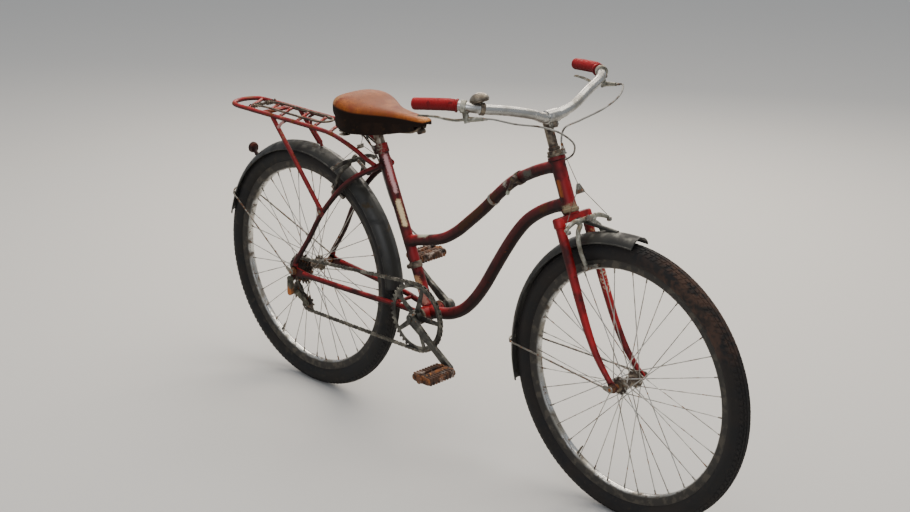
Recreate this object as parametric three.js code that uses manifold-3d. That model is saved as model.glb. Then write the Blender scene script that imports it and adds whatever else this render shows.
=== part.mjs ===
import * as THREE from "three";
import { mergeVertices } from "three/addons/utils/BufferGeometryUtils.js";
import Module from "manifold-3d";

// An old step-through bicycle with two curved main tubes, a rear carrier and a chain gear.
// Millimetres, +X forward, +Y to the rider's left, +Z up. It is laid out with the ground at
// z = 0 and the rear axle at x = 0, then moved so that the saddle's top is the origin.

const wasm = await Module();
wasm.setup();

// Driving dimensions: wheels
const wheelbase = 1097;
const tyreRadius = 335;
const tyreSectionRadius = 26;
const tyreBeadHalfWidth = 11;
const rimSeatRadius = 286.5;
const rimDepth = 19.5;
const rimHalfWidth = 13.5;
const wheelSegments = 40;
const axleRadius = 4.7;
const spokeRadius = 1;
const spokeStagger = 1.3;
const spokesPerFlange = 18;
const spokeCrossing = 60;
const flangeRadius = 21;
const flangeThickness = 4;
const hubBarrelRadius = 13;
const frontFlangeOffset = 27;
const rearFlangeOffset = 25;
const nutRadius = 9;
const nutLength = 8;

// Driving dimensions: steering
const headAngle = 68.4;
const forkRake = 35.5;
const steererRadius = 12.7;
const crownHeight = 385;
const crownThickness = 16;
const crownDepth = 28;
const headTubeLength = 130;
const headTubeRadius = 17;
const headsetCupRadius = 20.5;
const headsetCupHeight = 9;
const crownRaceHeight = 4;
const lockNutHeight = 14;
const bladeSpread = 46;
const frontDropoutSpread = 50;
const bladeTopRadius = 11.5;
const bladeEndRadius = 6.5;
const dropoutThickness = 4;
const dropoutRadius = 13;
const stemHeight = 76;
const stemReach = 18;
const stemRadius = 11;
const barRadius = 11.1;
const gripRadius = 14;
const gripWall = 1.6;
const bellRadius = 22.5;

// Driving dimensions: frame
const seatAngle = 66.6;
const bottomBracketForward = 453;
const bottomBracketHeight = 325;
const seatTubeRadius = 14.3;
const seatTubeLength = 442;
const seatPostRadius = 12.7;
const seatPostExposed = 42;
const seatPostInsertion = 80;
const shellRadius = 20;
const shellHalfWidth = 34;
const topTubeRadius = 14;
const downTubeRadius = 15;
const chainStayRadius = 7.5;
const seatStayRadius = 7;
const rearDropoutSpread = 66;

// Driving dimensions: drive
const chainPitch = 12.7;
const chainLine = 48;
const chainHalfHeight = 4.2;
const chainOuterHalfWidth = 4;
const chainInnerHalfWidth = 2.8;
const ringTeeth = 44;
const ringThickness = 2.4;
const ringBand = 10;
const ringArms = 5;
const sprocketTeeth = 16;
const sprocketStep = 5.5;
const pulleyTeeth = 10;
const spindleRadius = 8.3;
const crankLength = 165;
const crankAngle = 34;
const crankThickness = 12;
const crankFootRadius = 12.5;
const crankEyeRadius = 9.5;
const crankPlane = 66;
const pedalSpindleRadius = 6;
const pedalWidth = 92;
const pedalDepth = 62;
const pedalHeight = 20;

// Driving dimensions: carrier, fenders and saddle
const fenderSectionRadius = 33;
const fenderThickness = 1.4;
const rearFenderRadius = tyreRadius + 10;
const frontFenderRadius = tyreRadius + 17;
const stayWireRadius = 2.2;
const rackHeight = 742;
const rackHalfWidth = 48;
const rackTubeRadius = 6;
const rackLoopStart = -242;
const rackLoopDepth = 42;
const rackStrutTop = -92;
const reflectorRadius = 15;
const railRadius = 3.5;
const springRadius = 15;
const cableRadius = 2.5;
const wireRadius = 1.2;
const cableSides = 5;

// Clearances
const seatGap = 0.3;
const bearingGap = 0.5;
const runningGap = 5;

// Places worked out from the dimensions
const DEGREE = Math.PI / 180;
const axleHeight = tyreRadius;
const rearAxle = new THREE.Vector3(0, 0, axleHeight);
const frontAxle = new THREE.Vector3(wheelbase, 0, axleHeight);
const steeringUp = new THREE.Vector3(-Math.cos(headAngle * DEGREE), 0, Math.sin(headAngle * DEGREE));
const steeringForward = new THREE.Vector3(Math.sin(headAngle * DEGREE), 0, Math.cos(headAngle * DEGREE));
const steeringFoot = frontAxle.clone().addScaledVector(steeringForward, -forkRake);
const headTubeBottom = crownHeight + crownThickness + crownRaceHeight + bearingGap;
const headTubeTop = headTubeBottom + headTubeLength;
const steererTop = headTubeTop + bearingGap + lockNutHeight;
const barHeight = steererTop + stemHeight;
const bottomBracket = new THREE.Vector3(bottomBracketForward, 0, bottomBracketHeight);
const seatUp = new THREE.Vector3(-Math.cos(seatAngle * DEGREE), 0, Math.sin(seatAngle * DEGREE));
const ringRadius = chainPitch / (2 * Math.sin(Math.PI / ringTeeth));
const sprocketRadius = chainPitch / (2 * Math.sin(Math.PI / sprocketTeeth));
const pulleyRadius = chainPitch / (2 * Math.sin(Math.PI / pulleyTeeth));
const guidePulley = new THREE.Vector3(-12, -chainLine, axleHeight - 63);
const tensionPulley = new THREE.Vector3(33, -chainLine, axleHeight - 87);
const rightCrank = new THREE.Vector3(Math.cos(crankAngle * DEGREE), 0, -Math.sin(crankAngle * DEGREE));

// Saddle stations: [x, half width, top z, bottom z]
const saddleStations = [
  [160, 46, 839, 804],
  [178, 72, 848, 788],
  [214, 86, 849, 782],
  [255, 79, 840, 782],
  [298, 54, 834, 784],
  [345, 33, 831, 790],
  [400, 24, 829, 797],
  [438, 20, 827, 802],
  [450, 12, 822, 808],
];
const riderStation = saddleStations[3];
const riderPoint = new THREE.Vector3(riderStation[0], 0, riderStation[2]);

// Materials
function paint(color, roughness, metalness) {
  return new THREE.MeshStandardMaterial({ color, roughness, metalness });
}
const materials = {
  maroon: paint(0x5c1620, 0.45, 0.2),
  fenderGrey: paint(0x3b3a35, 0.5, 0.4),
  chrome: paint(0xc4c2bc, 0.25, 1.0),
  dullSteel: paint(0x6f6a62, 0.5, 0.8),
  alloy: paint(0x9c9a95, 0.4, 0.8),
  rustySteel: paint(0x7a4c2e, 0.8, 0.4),
  tyre: paint(0x1b1917, 0.9, 0.0),
  grip: paint(0xa3141c, 0.6, 0.0),
  leather: paint(0xa5602b, 0.55, 0.0),
  reflector: paint(0x5a1512, 0.3, 0.0),
  blackCable: paint(0x23211f, 0.6, 0.0),
};

// Geometry helpers
function vec(x, y, z) {
  return new THREE.Vector3(x, y, z);
}

// A point given in the steering's own directions: along the axis, forward of it, and to a side.
function steered(up, forward, side) {
  return steeringFoot
    .clone()
    .addScaledVector(steeringUp, up)
    .addScaledVector(steeringForward, forward)
    .add(vec(0, side, 0));
}

// A point given about an axle by its radius, its angle over the horizontal and its side.
function polar(axle, radius, angle, side) {
  return vec(axle.x + radius * Math.cos(angle * DEGREE), side, axle.z + radius * Math.sin(angle * DEGREE));
}

function onSeatTube(distance, side = 0) {
  return bottomBracket.clone().addScaledVector(seatUp, distance).add(vec(0, side, 0));
}

function behindSeatTube(distance, back, side) {
  const backward = vec(-Math.sin(seatAngle * DEGREE), 0, -Math.cos(seatAngle * DEGREE));
  return onSeatTube(distance, side).addScaledVector(backward, back);
}

function toSolid(geometry) {
  const bare = geometry.clone();
  for (const name of Object.keys(bare.attributes)) {
    if (name !== "position") bare.deleteAttribute(name);
  }
  const merged = mergeVertices(bare, 1e-4);
  const mesh = new wasm.Mesh({
    numProp: 3,
    vertProperties: new Float32Array(merged.attributes.position.array),
    triVerts: new Uint32Array(merged.index.array),
  });
  return new wasm.Manifold(mesh);
}

function toGeometry(solid) {
  const mesh = solid.getMesh();
  const geometry = new THREE.BufferGeometry();
  geometry.setAttribute("position", new THREE.BufferAttribute(new Float32Array(mesh.vertProperties), 3));
  geometry.setIndex(new THREE.BufferAttribute(new Uint32Array(mesh.triVerts), 1));
  geometry.computeVertexNormals();
  return geometry;
}

function join(...geometries) {
  return toGeometry(wasm.Manifold.union(geometries.map(toSolid)));
}

function cut(geometry, ...tools) {
  return toGeometry(toSolid(geometry).subtract(wasm.Manifold.union(tools.map(toSolid))));
}

function overlap(geometry, tool) {
  return toGeometry(toSolid(geometry).intersect(toSolid(tool)));
}

// Turns a closed outline of [radius, height] points about the Y axis.
function lathe(outline, segments = wheelSegments) {
  const area = outline.reduce((sum, [r, y], i) => {
    const [nextR, nextY] = outline[(i + 1) % outline.length];
    return sum + r * nextY - nextR * y;
  }, 0);
  const ordered = area > 0 ? outline : [...outline].reverse();
  const points = ordered.map(([r, y]) => new THREE.Vector2(r, y));
  points.push(points[0].clone());
  return new THREE.LatheGeometry(points, segments);
}

// Stands a geometry made about the Y axis at a point, with its Y axis along a direction.
function stand(geometry, point, direction) {
  const turn = new THREE.Quaternion().setFromUnitVectors(vec(0, 1, 0), direction.clone().normalize());
  return geometry.applyQuaternion(turn).translate(point.x, point.y, point.z);
}

function rod(start, end, radius, sides = 8, endRadius = radius) {
  const along = end.clone().sub(start);
  const cylinder = new THREE.CylinderGeometry(endRadius, radius, along.length(), sides);
  const middle = start.clone().add(end).multiplyScalar(0.5);
  return stand(cylinder, middle, along);
}

// A rod across the bicycle, from one side to another.
function crossRod(x, z, fromSide, toSide, radius, sides = 8) {
  return rod(vec(x, fromSide, z), vec(x, toSide, z), radius, sides);
}

// A round tube of one radius through the given points.
function tube(points, radius, sides, steps) {
  const section = [];
  for (let i = 0; i < sides; i++) {
    const turn = (i / sides) * 2 * Math.PI;
    section.push(new THREE.Vector2(radius * Math.cos(turn), radius * Math.sin(turn)));
  }
  const path = new THREE.CatmullRomCurve3(points);
  return new THREE.ExtrudeGeometry(new THREE.Shape(section), { steps, extrudePath: path });
}

// A closed skin over rings that all have as many points; the rings may also close on each other.
function loft(rings, endless = false) {
  const count = rings[0].length;
  const positions = rings.flat().flatMap((p) => [p.x, p.y, p.z]);
  const index = [];
  const bands = endless ? rings.length : rings.length - 1;
  for (let i = 0; i < bands; i++) {
    const next = (i + 1) % rings.length;
    for (let j = 0; j < count; j++) {
      const k = (j + 1) % count;
      index.push(i * count + j, i * count + k, next * count + k);
      index.push(i * count + j, next * count + k, next * count + j);
    }
  }
  if (!endless) {
    const last = (rings.length - 1) * count;
    for (let j = 1; j < count - 1; j++) {
      index.push(0, j + 1, j);
      index.push(last, last + j, last + j + 1);
    }
  }
  const geometry = new THREE.BufferGeometry();
  geometry.setAttribute("position", new THREE.Float32BufferAttribute(positions, 3));
  geometry.setIndex(index);
  geometry.computeVertexNormals();
  return geometry;
}

// A round tube whose radius runs evenly from one end to the other.
function taperedTube(points, startRadius, endRadius, sides, steps) {
  const path = new THREE.CatmullRomCurve3(points);
  const frames = path.computeFrenetFrames(steps, false);
  const rings = frames.tangents.map((tangent, i) => {
    const centre = path.getPointAt(i / steps);
    const radius = startRadius + ((endRadius - startRadius) * i) / steps;
    return Array.from({ length: sides }, (unused, j) => {
      const turn = (j / sides) * 2 * Math.PI;
      return centre
        .clone()
        .addScaledVector(frames.normals[i], radius * Math.cos(turn))
        .addScaledVector(frames.binormals[i], radius * Math.sin(turn));
    });
  });
  return loft(rings);
}

// A plate whose outline lies in the bicycle's side view, between two sides.
function plate(outline, fromSide, toSide) {
  const shape = new THREE.Shape(outline.map(([x, z]) => new THREE.Vector2(x, z)));
  const depth = Math.abs(toSide - fromSide);
  const geometry = new THREE.ExtrudeGeometry(shape, { depth, bevelEnabled: false });
  geometry.rotateX(Math.PI / 2);
  return geometry.translate(0, Math.max(fromSide, toSide), 0);
}

// A plate with round ends from one point to another.
function linkPlate(start, end, startRadius, endRadius, fromSide, toSide) {
  const along = Math.atan2(end.z - start.z, end.x - start.x);
  const outline = [];
  const roundSteps = 5;
  for (let i = 0; i <= roundSteps; i++) {
    const turn = along + Math.PI / 2 + (i / roundSteps) * Math.PI;
    outline.push([start.x + startRadius * Math.cos(turn), start.z + startRadius * Math.sin(turn)]);
  }
  for (let i = 0; i <= roundSteps; i++) {
    const turn = along - Math.PI / 2 + (i / roundSteps) * Math.PI;
    outline.push([end.x + endRadius * Math.cos(turn), end.z + endRadius * Math.sin(turn)]);
  }
  return plate(outline, fromSide, toSide);
}

function mesh(name, geometry, material) {
  const piece = new THREE.Mesh(geometry, material);
  piece.name = name;
  return piece;
}

function groupOf(...pieces) {
  const group = new THREE.Group();
  group.add(...pieces.flat());
  return group;
}

// Wheels
function tyreGeometry() {
  const sectionCentre = tyreRadius - tyreSectionRadius;
  const outline = [];
  const roundSteps = 7;
  const halfTurn = 128;
  for (let i = 0; i <= roundSteps; i++) {
    const turn = (-halfTurn + (i / roundSteps) * 2 * halfTurn) * DEGREE;
    outline.push([
      sectionCentre + tyreSectionRadius * Math.cos(turn),
      tyreSectionRadius * Math.sin(turn),
    ]);
  }
  outline.push([rimSeatRadius + seatGap, tyreBeadHalfWidth]);
  outline.push([rimSeatRadius + seatGap, -tyreBeadHalfWidth]);
  return lathe(outline);
}

function rimGeometry() {
  const shoulder = rimSeatRadius - rimDepth / 2;
  return lathe([
    [rimSeatRadius - rimDepth, -rimHalfWidth * 0.45],
    [shoulder, -rimHalfWidth],
    [rimSeatRadius, -rimHalfWidth],
    [rimSeatRadius, rimHalfWidth],
    [shoulder, rimHalfWidth],
    [rimSeatRadius - rimDepth, rimHalfWidth * 0.45],
  ]);
}

// The spokes stop at the flats between the rim's corners. Those that lead and those that
// trail lie beside each other, so that they pass where they cross.
function spokeRods(flangeOffset) {
  const flatsRadius = (rimSeatRadius - rimDepth) * Math.cos(Math.PI / wheelSegments);
  const spokeEnd = flatsRadius - seatGap;
  const spokeStart = flangeRadius - 3;
  const spokeSpread = 2.6;
  const spokes = [];
  for (const side of [-1, 1]) {
    for (let i = 0; i < spokesPerFlange; i++) {
      const lead = i % 2 ? spokeCrossing : -spokeCrossing;
      const rimAngle = (i + (side > 0 ? 0.5 : 0)) * (360 / spokesPerFlange);
      const hubAngle = rimAngle + lead;
      const passing = i % 2 ? spokeStagger : -spokeStagger;
      const start = polar(vec(0, 0, 0), spokeStart, hubAngle, side * flangeOffset + passing);
      const end = polar(vec(0, 0, 0), spokeEnd, rimAngle, side * spokeSpread + passing);
      spokes.push(rod(start, end, spokeRadius, 3));
    }
  }
  return spokes;
}

function hubShell(flangeOffset) {
  const shellEnd = flangeOffset + 9;
  const flangeOut = flangeOffset + flangeThickness / 2;
  const flangeIn = flangeOffset - flangeThickness / 2;
  const boreRadius = axleRadius + bearingGap;
  return lathe(
    [
      [boreRadius, -shellEnd],
      [hubBarrelRadius, -shellEnd],
      [hubBarrelRadius, -flangeOut],
      [flangeRadius, -flangeOut],
      [flangeRadius, -flangeIn],
      [hubBarrelRadius, -flangeIn],
      [hubBarrelRadius, flangeIn],
      [flangeRadius, flangeIn],
      [flangeRadius, flangeOut],
      [hubBarrelRadius, flangeOut],
      [hubBarrelRadius, shellEnd],
      [boreRadius, shellEnd],
    ],
    12,
  );
}

function hubGeometry(flangeOffset) {
  return join(hubShell(flangeOffset), ...spokeRods(flangeOffset));
}

function sprocketsGeometry() {
  const teethByStep = [sprocketTeeth - 2, sprocketTeeth, sprocketTeeth + 2, sprocketTeeth + 4];
  const boreRadius = hubBarrelRadius + seatGap;
  const spacerRadius = 22;
  const discHalf = 1;
  const outline = [];
  teethByStep.forEach((teeth, step) => {
    const side = -chainLine + (step - 1) * sprocketStep;
    const pitchRadius = chainPitch / (2 * Math.sin(Math.PI / teeth));
    const underChain = pitchRadius * Math.cos(Math.PI / teeth) - chainHalfHeight - bearingGap;
    const discRadius = teeth === sprocketTeeth ? underChain : pitchRadius + 2;
    outline.push([spacerRadius, side - discHalf], [discRadius, side - discHalf]);
    outline.push([discRadius, side + discHalf], [spacerRadius, side + discHalf]);
  });
  const inner = -rearFlangeOffset - flangeThickness / 2 - seatGap;
  outline.push([spacerRadius, inner], [boreRadius, inner]);
  outline.push([boreRadius, -rearFlangeOffset - 9 - seatGap]);
  outline.push([axleRadius + bearingGap, -rearFlangeOffset - 9 - seatGap]);
  outline.push([axleRadius + bearingGap, -chainLine - sprocketStep - discHalf]);
  return lathe(outline, 16);
}

function wheel(name, axle, flangeOffset) {
  const group = groupOf(
    mesh(`${name}_tyre`, tyreGeometry(), materials.tyre),
    mesh(`${name}_rim`, rimGeometry(), materials.chrome),
    mesh(`${name}_hub`, hubGeometry(flangeOffset), materials.dullSteel),
  );
  group.position.copy(axle);
  return group;
}

// An axle with its cones inside the dropouts and its nuts outside them.
function axleGeometry(name, axle, dropoutSide, hubEnd) {
  const inner = dropoutSide - dropoutThickness / 2 - seatGap;
  const outer = dropoutSide + dropoutThickness / 2 + seatGap;
  const pieces = [crossRod(0, 0, -outer - nutLength - 4, outer + nutLength + 4, axleRadius, 10)];
  for (const side of [-1, 1]) {
    const coneStart = side < 0 ? hubEnd[0] : hubEnd[1];
    pieces.push(crossRod(0, 0, side * (coneStart + bearingGap), side * inner, axleRadius + 3, 10));
    pieces.push(crossRod(0, 0, side * outer, side * (outer + nutLength), nutRadius, 6));
  }
  const piece = mesh(name, join(...pieces), materials.dullSteel);
  piece.position.copy(axle);
  return piece;
}

// Frame
const steeringAxisStart = steered(headTubeBottom - 30, 0, 0);
const steeringAxisEnd = steered(headTubeTop + 30, 0, 0);
const seatTubeEnvelope = rod(onSeatTube(-10), onSeatTube(seatTubeLength + 20), seatTubeRadius + seatGap, 16);
const shellEnvelope = crossRod(
  bottomBracket.x,
  bottomBracket.z,
  -shellHalfWidth - 1,
  shellHalfWidth + 1,
  shellRadius + seatGap,
  16,
);
const headTubeEnvelope = join(
  rod(steeringAxisStart, steeringAxisEnd, headTubeRadius + seatGap, 16),
  rod(
    steeringAxisStart,
    steered(headTubeBottom + headsetCupHeight + 3, 0, 0),
    headsetCupRadius + seatGap,
    16,
  ),
  rod(steered(headTubeTop - headsetCupHeight - 3, 0, 0), steeringAxisEnd, headsetCupRadius + seatGap, 16),
);

function headTubeGeometry() {
  const boreRadius = steererRadius + bearingGap;
  const outline = [
    [boreRadius, headTubeBottom],
    [headsetCupRadius, headTubeBottom],
    [headsetCupRadius, headTubeBottom + headsetCupHeight],
    [headTubeRadius, headTubeBottom + headsetCupHeight + 3],
    [headTubeRadius, headTubeTop - headsetCupHeight - 3],
    [headsetCupRadius, headTubeTop - headsetCupHeight],
    [headsetCupRadius, headTubeTop],
    [boreRadius, headTubeTop],
  ];
  return stand(lathe(outline, 16), steeringFoot, steeringUp);
}

function seatTubeGeometry() {
  const tubeRod = rod(onSeatTube(0), onSeatTube(seatTubeLength), seatTubeRadius, 16);
  const clampRod = rod(onSeatTube(seatTubeLength - 24), onSeatTube(seatTubeLength), seatTubeRadius + 2.5, 16);
  const shell = crossRod(bottomBracket.x, bottomBracket.z, -shellHalfWidth, shellHalfWidth, shellRadius, 16);
  const clampBolt = rod(
    onSeatTube(seatTubeLength - 12, -14).add(vec(-19, 0, 0)),
    onSeatTube(seatTubeLength - 12, 14).add(vec(-19, 0, 0)),
    6,
    8,
  );
  const spindleBore = crossRod(
    bottomBracket.x,
    bottomBracket.z,
    -shellHalfWidth - 1,
    shellHalfWidth + 1,
    spindleRadius + bearingGap,
    12,
  );
  const postBore = rod(
    onSeatTube(seatTubeLength - seatPostInsertion - seatGap),
    onSeatTube(seatTubeLength + 1),
    seatPostRadius + seatGap,
    16,
  );
  return cut(join(tubeRod, clampRod, shell, clampBolt), spindleBore, postBore);
}

// Top tube points: [x, z], from the seat tube to the head tube
const topTubePoints = [
  [389, 500],
  [412, 507],
  [495, 531],
  [545, 560],
  [594, 601],
  [642, 644],
  [688, 690],
  [734, 731],
  [779, 758],
  [823, 780],
  [878, 802],
];
// Down tube points: [x, z], from the bottom bracket to the head tube
const downTubePoints = [
  [453, 328],
  [490, 333],
  [530, 343],
  [572, 366],
  [607, 399],
  [643, 446],
  [679, 504],
  [713, 558],
  [747, 607],
  [783, 648],
  [826, 680],
  [868, 702],
  [908, 717],
];

function frameTube(points, radius, steps) {
  return tube(points.map(([x, z]) => vec(x, 0, z)), radius, 10, steps);
}

const dropoutX = 56;

function chainStayTube(side, growth = 0) {
  const path = [
    vec(bottomBracket.x, side * 25, bottomBracket.z + 1),
    vec(420, side * 26, 327),
    vec(375, side * 30.5, 329),
    vec(330, side * 39, 331),
    vec(285, side * 45, 332),
    vec(170, side * 56, 333),
    vec(dropoutX, side * rearDropoutSpread, axleHeight),
  ];
  return tube(path, chainStayRadius + growth, 8, 8);
}

function chainStayGeometry(side) {
  const dropout = linkPlate(
    rearAxle,
    vec(dropoutX + 8, 0, axleHeight),
    dropoutRadius,
    chainStayRadius,
    side * (rearDropoutSpread - dropoutThickness / 2),
    side * (rearDropoutSpread + dropoutThickness / 2),
  );
  const pieces = [chainStayTube(side), dropout];
  if (side < 0) {
    const hanger = linkPlate(
      vec(2, 0, axleHeight),
      vec(-10, 0, axleHeight - 24),
      dropoutRadius,
      8,
      side * (rearDropoutSpread - dropoutThickness / 2),
      side * (rearDropoutSpread + dropoutThickness / 2),
    );
    pieces.push(hanger);
  }
  const hole = crossRod(0, axleHeight, side * 50, side * 80, axleRadius + seatGap, 10);
  return cut(join(...pieces), hole, shellEnvelope, seatTubeEnvelope);
}

function seatStayPath(side) {
  return [
    vec(5, side * rearDropoutSpread, 358),
    vec(30, side * (rearDropoutSpread - 1), 395),
    vec(62, side * 63, 441),
    vec(105, side * 57, 514),
    vec(158, side * 49, 580),
    vec(206, side * 43, 626),
    vec(256, side * 31, 659),
    vec(302, side * 17, 684),
  ];
}

function seatStayTube(side, radius) {
  return tube(seatStayPath(side), radius, 8, 12);
}

function seatStayGeometry(side) {
  const foot = linkPlate(
    vec(4, 0, axleHeight + dropoutRadius + 4),
    vec(8, 0, 364),
    3.5,
    seatStayRadius,
    side * (rearDropoutSpread - dropoutThickness / 2),
    side * (rearDropoutSpread + dropoutThickness / 2),
  );
  const stay = join(seatStayTube(side, seatStayRadius), foot);
  const dropoutEnvelope = linkPlate(
    rearAxle,
    vec(dropoutX + 8, 0, axleHeight),
    dropoutRadius + seatGap,
    chainStayRadius + seatGap,
    side * (rearDropoutSpread - 12),
    side * (rearDropoutSpread + 12),
  );
  return cut(stay, seatTubeEnvelope, dropoutEnvelope);
}

// Bridges between the pairs of stays
function bridges() {
  const stayEnvelopes = [-1, 1].map((side) => seatStayTube(side, seatStayRadius + seatGap));
  const middle = rearBrakePlace(brakeBridgeRadius, -rearBridgeBack, 0);
  const brakeBridge = cut(crossRod(middle.x, middle.z, -34, 34, bridgeRadius, 8), ...stayEnvelopes);
  return [mesh("seat_stay_bridge", brakeBridge, materials.maroon)];
}

const chainStayBridgeX = 352;
const chainStayBridgeHeight = 330;

function chainStayBridge() {
  const bar = crossRod(chainStayBridgeX, chainStayBridgeHeight, -34, 34, bridgeRadius);
  const trimmed = cut(bar, chainStayTube(-1, seatGap), chainStayTube(1, seatGap));
  return mesh("chain_stay_bridge", trimmed, materials.maroon);
}

// A band round the seat tube over the bottom bracket, with its screw
function seatTubeBandGeometry() {
  const low = 118;
  const high = 134;
  const band = rod(onSeatTube(low), onSeatTube(high), seatTubeRadius + 2.3, 16);
  const ears = rod(
    onSeatTube((low + high) / 2, -seatTubeRadius),
    onSeatTube((low + high) / 2, -seatTubeRadius - 13),
    6,
    8,
  );
  const screw = rod(
    onSeatTube((low + high) / 2, -seatTubeRadius - 8).add(vec(-12, 0, -4)),
    onSeatTube((low + high) / 2, -seatTubeRadius - 8).add(vec(14, 0, 4)),
    3,
    8,
  );
  return cut(join(band, ears, screw), seatTubeEnvelope);
}

// Fork and steering
function forkGeometry() {
  const crownMiddle = crownHeight + crownThickness / 2;
  const steerer = rod(steered(crownMiddle, 0, 0), steered(steererTop, 0, 0), steererRadius, 16);
  const race = rod(
    steered(crownMiddle, 0, 0),
    steered(headTubeBottom - bearingGap, 0, 0),
    headsetCupRadius - 1.5,
    16,
  );
  const crownBlock = new THREE.BoxGeometry(crownDepth, 2 * bladeSpread, crownThickness);
  crownBlock.applyQuaternion(
    new THREE.Quaternion().setFromUnitVectors(vec(0, 0, 1), steeringUp),
  );
  const crownCentre = steered(crownMiddle, 1, 0);
  crownBlock.translate(crownCentre.x, 0, crownCentre.z);
  const pieces = [steerer, race, crownBlock];
  for (const side of [-1, 1]) {
    const shoulder = rod(
      steered(crownHeight - 8, 0, side * bladeSpread),
      steered(crownHeight + crownThickness, 0, side * bladeSpread),
      bladeTopRadius + 2.5,
      10,
    );
    const blade = taperedTube(
      [
        steered(crownHeight, 0, side * bladeSpread),
        steered(300, 0, side * bladeSpread),
        steered(210, 0, side * (bladeSpread + 1)),
        steered(130, 3, side * (bladeSpread + 2)),
        steered(70, 12, side * (bladeSpread + 3)),
        steered(12, 31, side * frontDropoutSpread),
      ],
      bladeTopRadius,
      bladeEndRadius,
      8,
      7,
    );
    const dropout = linkPlate(
      frontAxle,
      steered(26, 26, 0),
      dropoutRadius - 2,
      bladeEndRadius,
      side * (frontDropoutSpread - dropoutThickness / 2),
      side * (frontDropoutSpread + dropoutThickness / 2),
    );
    pieces.push(shoulder, blade, dropout);
  }
  const hubRoom = crossRod(
    frontAxle.x,
    frontAxle.z,
    -frontDropoutSpread + dropoutThickness / 2,
    frontDropoutSpread - dropoutThickness / 2,
    nutRadius + 2,
    12,
  );
  const axleHole = crossRod(frontAxle.x, frontAxle.z, -70, 70, axleRadius + seatGap, 10);
  const nutRooms = [-1, 1].map((side) =>
    crossRod(
      frontAxle.x,
      frontAxle.z,
      side * (frontDropoutSpread + dropoutThickness / 2),
      side * 80,
      nutRadius + 1,
      12,
    ),
  );
  return cut(join(...pieces), hubRoom, axleHole, ...nutRooms);
}

// The lock nut carries the cable stop of the front brake on its front.
const cableStopForward = 27;

function lockNutGeometry() {
  const bottom = headTubeTop + bearingGap;
  const nut = stand(
    lathe(
      [
        [steererRadius + seatGap, bottom],
        [headsetCupRadius - 1, bottom],
        [headsetCupRadius - 2, steererTop],
        [steererRadius + seatGap, steererTop],
      ],
      16,
    ),
    steeringFoot,
    steeringUp,
  );
  const stopPlate = new THREE.BoxGeometry(cableStopForward - 13, 11, 3.5);
  stopPlate.applyQuaternion(new THREE.Quaternion().setFromUnitVectors(vec(0, 0, 1), steeringUp));
  const stopCentre = steered(bottom + 6, 16 + (cableStopForward - 13) / 2, 0);
  stopPlate.translate(stopCentre.x, 0, stopCentre.z);
  const barrel = rod(
    steered(bottom, cableStopForward, 0),
    steered(bottom + 14, cableStopForward, 0),
    4.5,
    8,
  );
  return join(nut, stopPlate, barrel);
}

function stemGeometry() {
  const quill = rod(steered(steererTop + seatGap, 0, 0), steered(barHeight - 2, 0, 0), stemRadius, 12);
  const collar = rod(
    steered(steererTop + seatGap, 0, 0),
    steered(steererTop + 8, 0, 0),
    stemRadius + 3,
    12,
  );
  const neck = rod(steered(barHeight - 9, 0, 0), steered(barHeight - 2, stemReach, 0), stemRadius, 12);
  const clamp = rod(
    steered(barHeight, stemReach, -19),
    steered(barHeight, stemReach, 19),
    barRadius + 4.5,
    12,
  );
  const bolt = rod(steered(barHeight - 24, stemReach, 0), steered(barHeight - 8, stemReach, 0), 5, 6);
  return cut(join(quill, collar, neck, clamp, bolt), barEnvelope);
}

// Handlebar stations on one side: [side, forward of the clamp, above the clamp]
const barStations = [
  [22, 1, 0],
  [46, 9, 5],
  [72, 15, 14],
  [132, 6, 35],
  [196, -8, 54],
  [222, -22, 66],
  [243, -50, 81],
  [256, -90, 93],
  [269, -134, 105],
];

function barPoint([side, forward, up], sign) {
  return steered(barHeight + up, stemReach + forward, sign * side);
}

function barPath() {
  const right = [...barStations].reverse().map((station) => barPoint(station, -1));
  const left = barStations.map((station) => barPoint(station, 1));
  return [...right, steered(barHeight, stemReach, 0), ...left];
}

function barTube(radius) {
  return tube(barPath(), radius, 8, 28);
}

const barEnvelope = barTube(barRadius + seatGap);

// A grip is a sleeve that follows the bar up to the lever's clamp, closed behind the bar's end.
const gripStart = [234, -38, 74.7];

function gripGeometry(sign) {
  const path = [gripStart, ...barStations.slice(-3)].map((station) => barPoint(station, sign));
  const last = path.length - 1;
  const outward = path[last].clone().sub(path[last - 1]).normalize();
  path[last].addScaledVector(outward, 3);
  const sleeve = tube(path, gripRadius, 10, 5);
  const inward = path[1].clone().sub(path[0]).normalize();
  const collar = rod(path[0], path[0].clone().addScaledVector(inward, 5), gripRadius + gripWall, 10);
  return cut(join(sleeve, collar), barEnvelope);
}

const leverSide = 230;
const leverClamp = [leverSide, -27, 70];
const leverPivot = [leverSide - 2, -30, 41];
const leverBarrelEnd = [leverSide - 8, 14, 32];

function leverPlace([side, forward, up], sign) {
  return steered(barHeight + up, stemReach + forward, sign * side);
}

function brakeLeverGeometry(sign) {
  const clamp = rod(
    leverPlace([leverClamp[0] - 6, leverClamp[1] + 7, leverClamp[2] - 4], sign),
    leverPlace([leverClamp[0] + 5, leverClamp[1] - 7, leverClamp[2] + 4], sign),
    barRadius + 3.5,
    12,
  );
  const bracket = rod(leverPlace(leverClamp, sign), leverPlace(leverPivot, sign), 6.5, 10);
  const barrel = rod(leverPlace(leverPivot, sign), leverPlace(leverBarrelEnd, sign), 6, 10, 4);
  const blade = tube(
    [
      leverPlace(leverPivot, sign),
      leverPlace([236, -62, 47], sign),
      leverPlace([250, -104, 66], sign),
      leverPlace([262, -140, 78], sign),
    ],
    4.5,
    5,
    5,
  );
  return cut(join(clamp, bracket, barrel, blade), barEnvelope);
}

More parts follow.
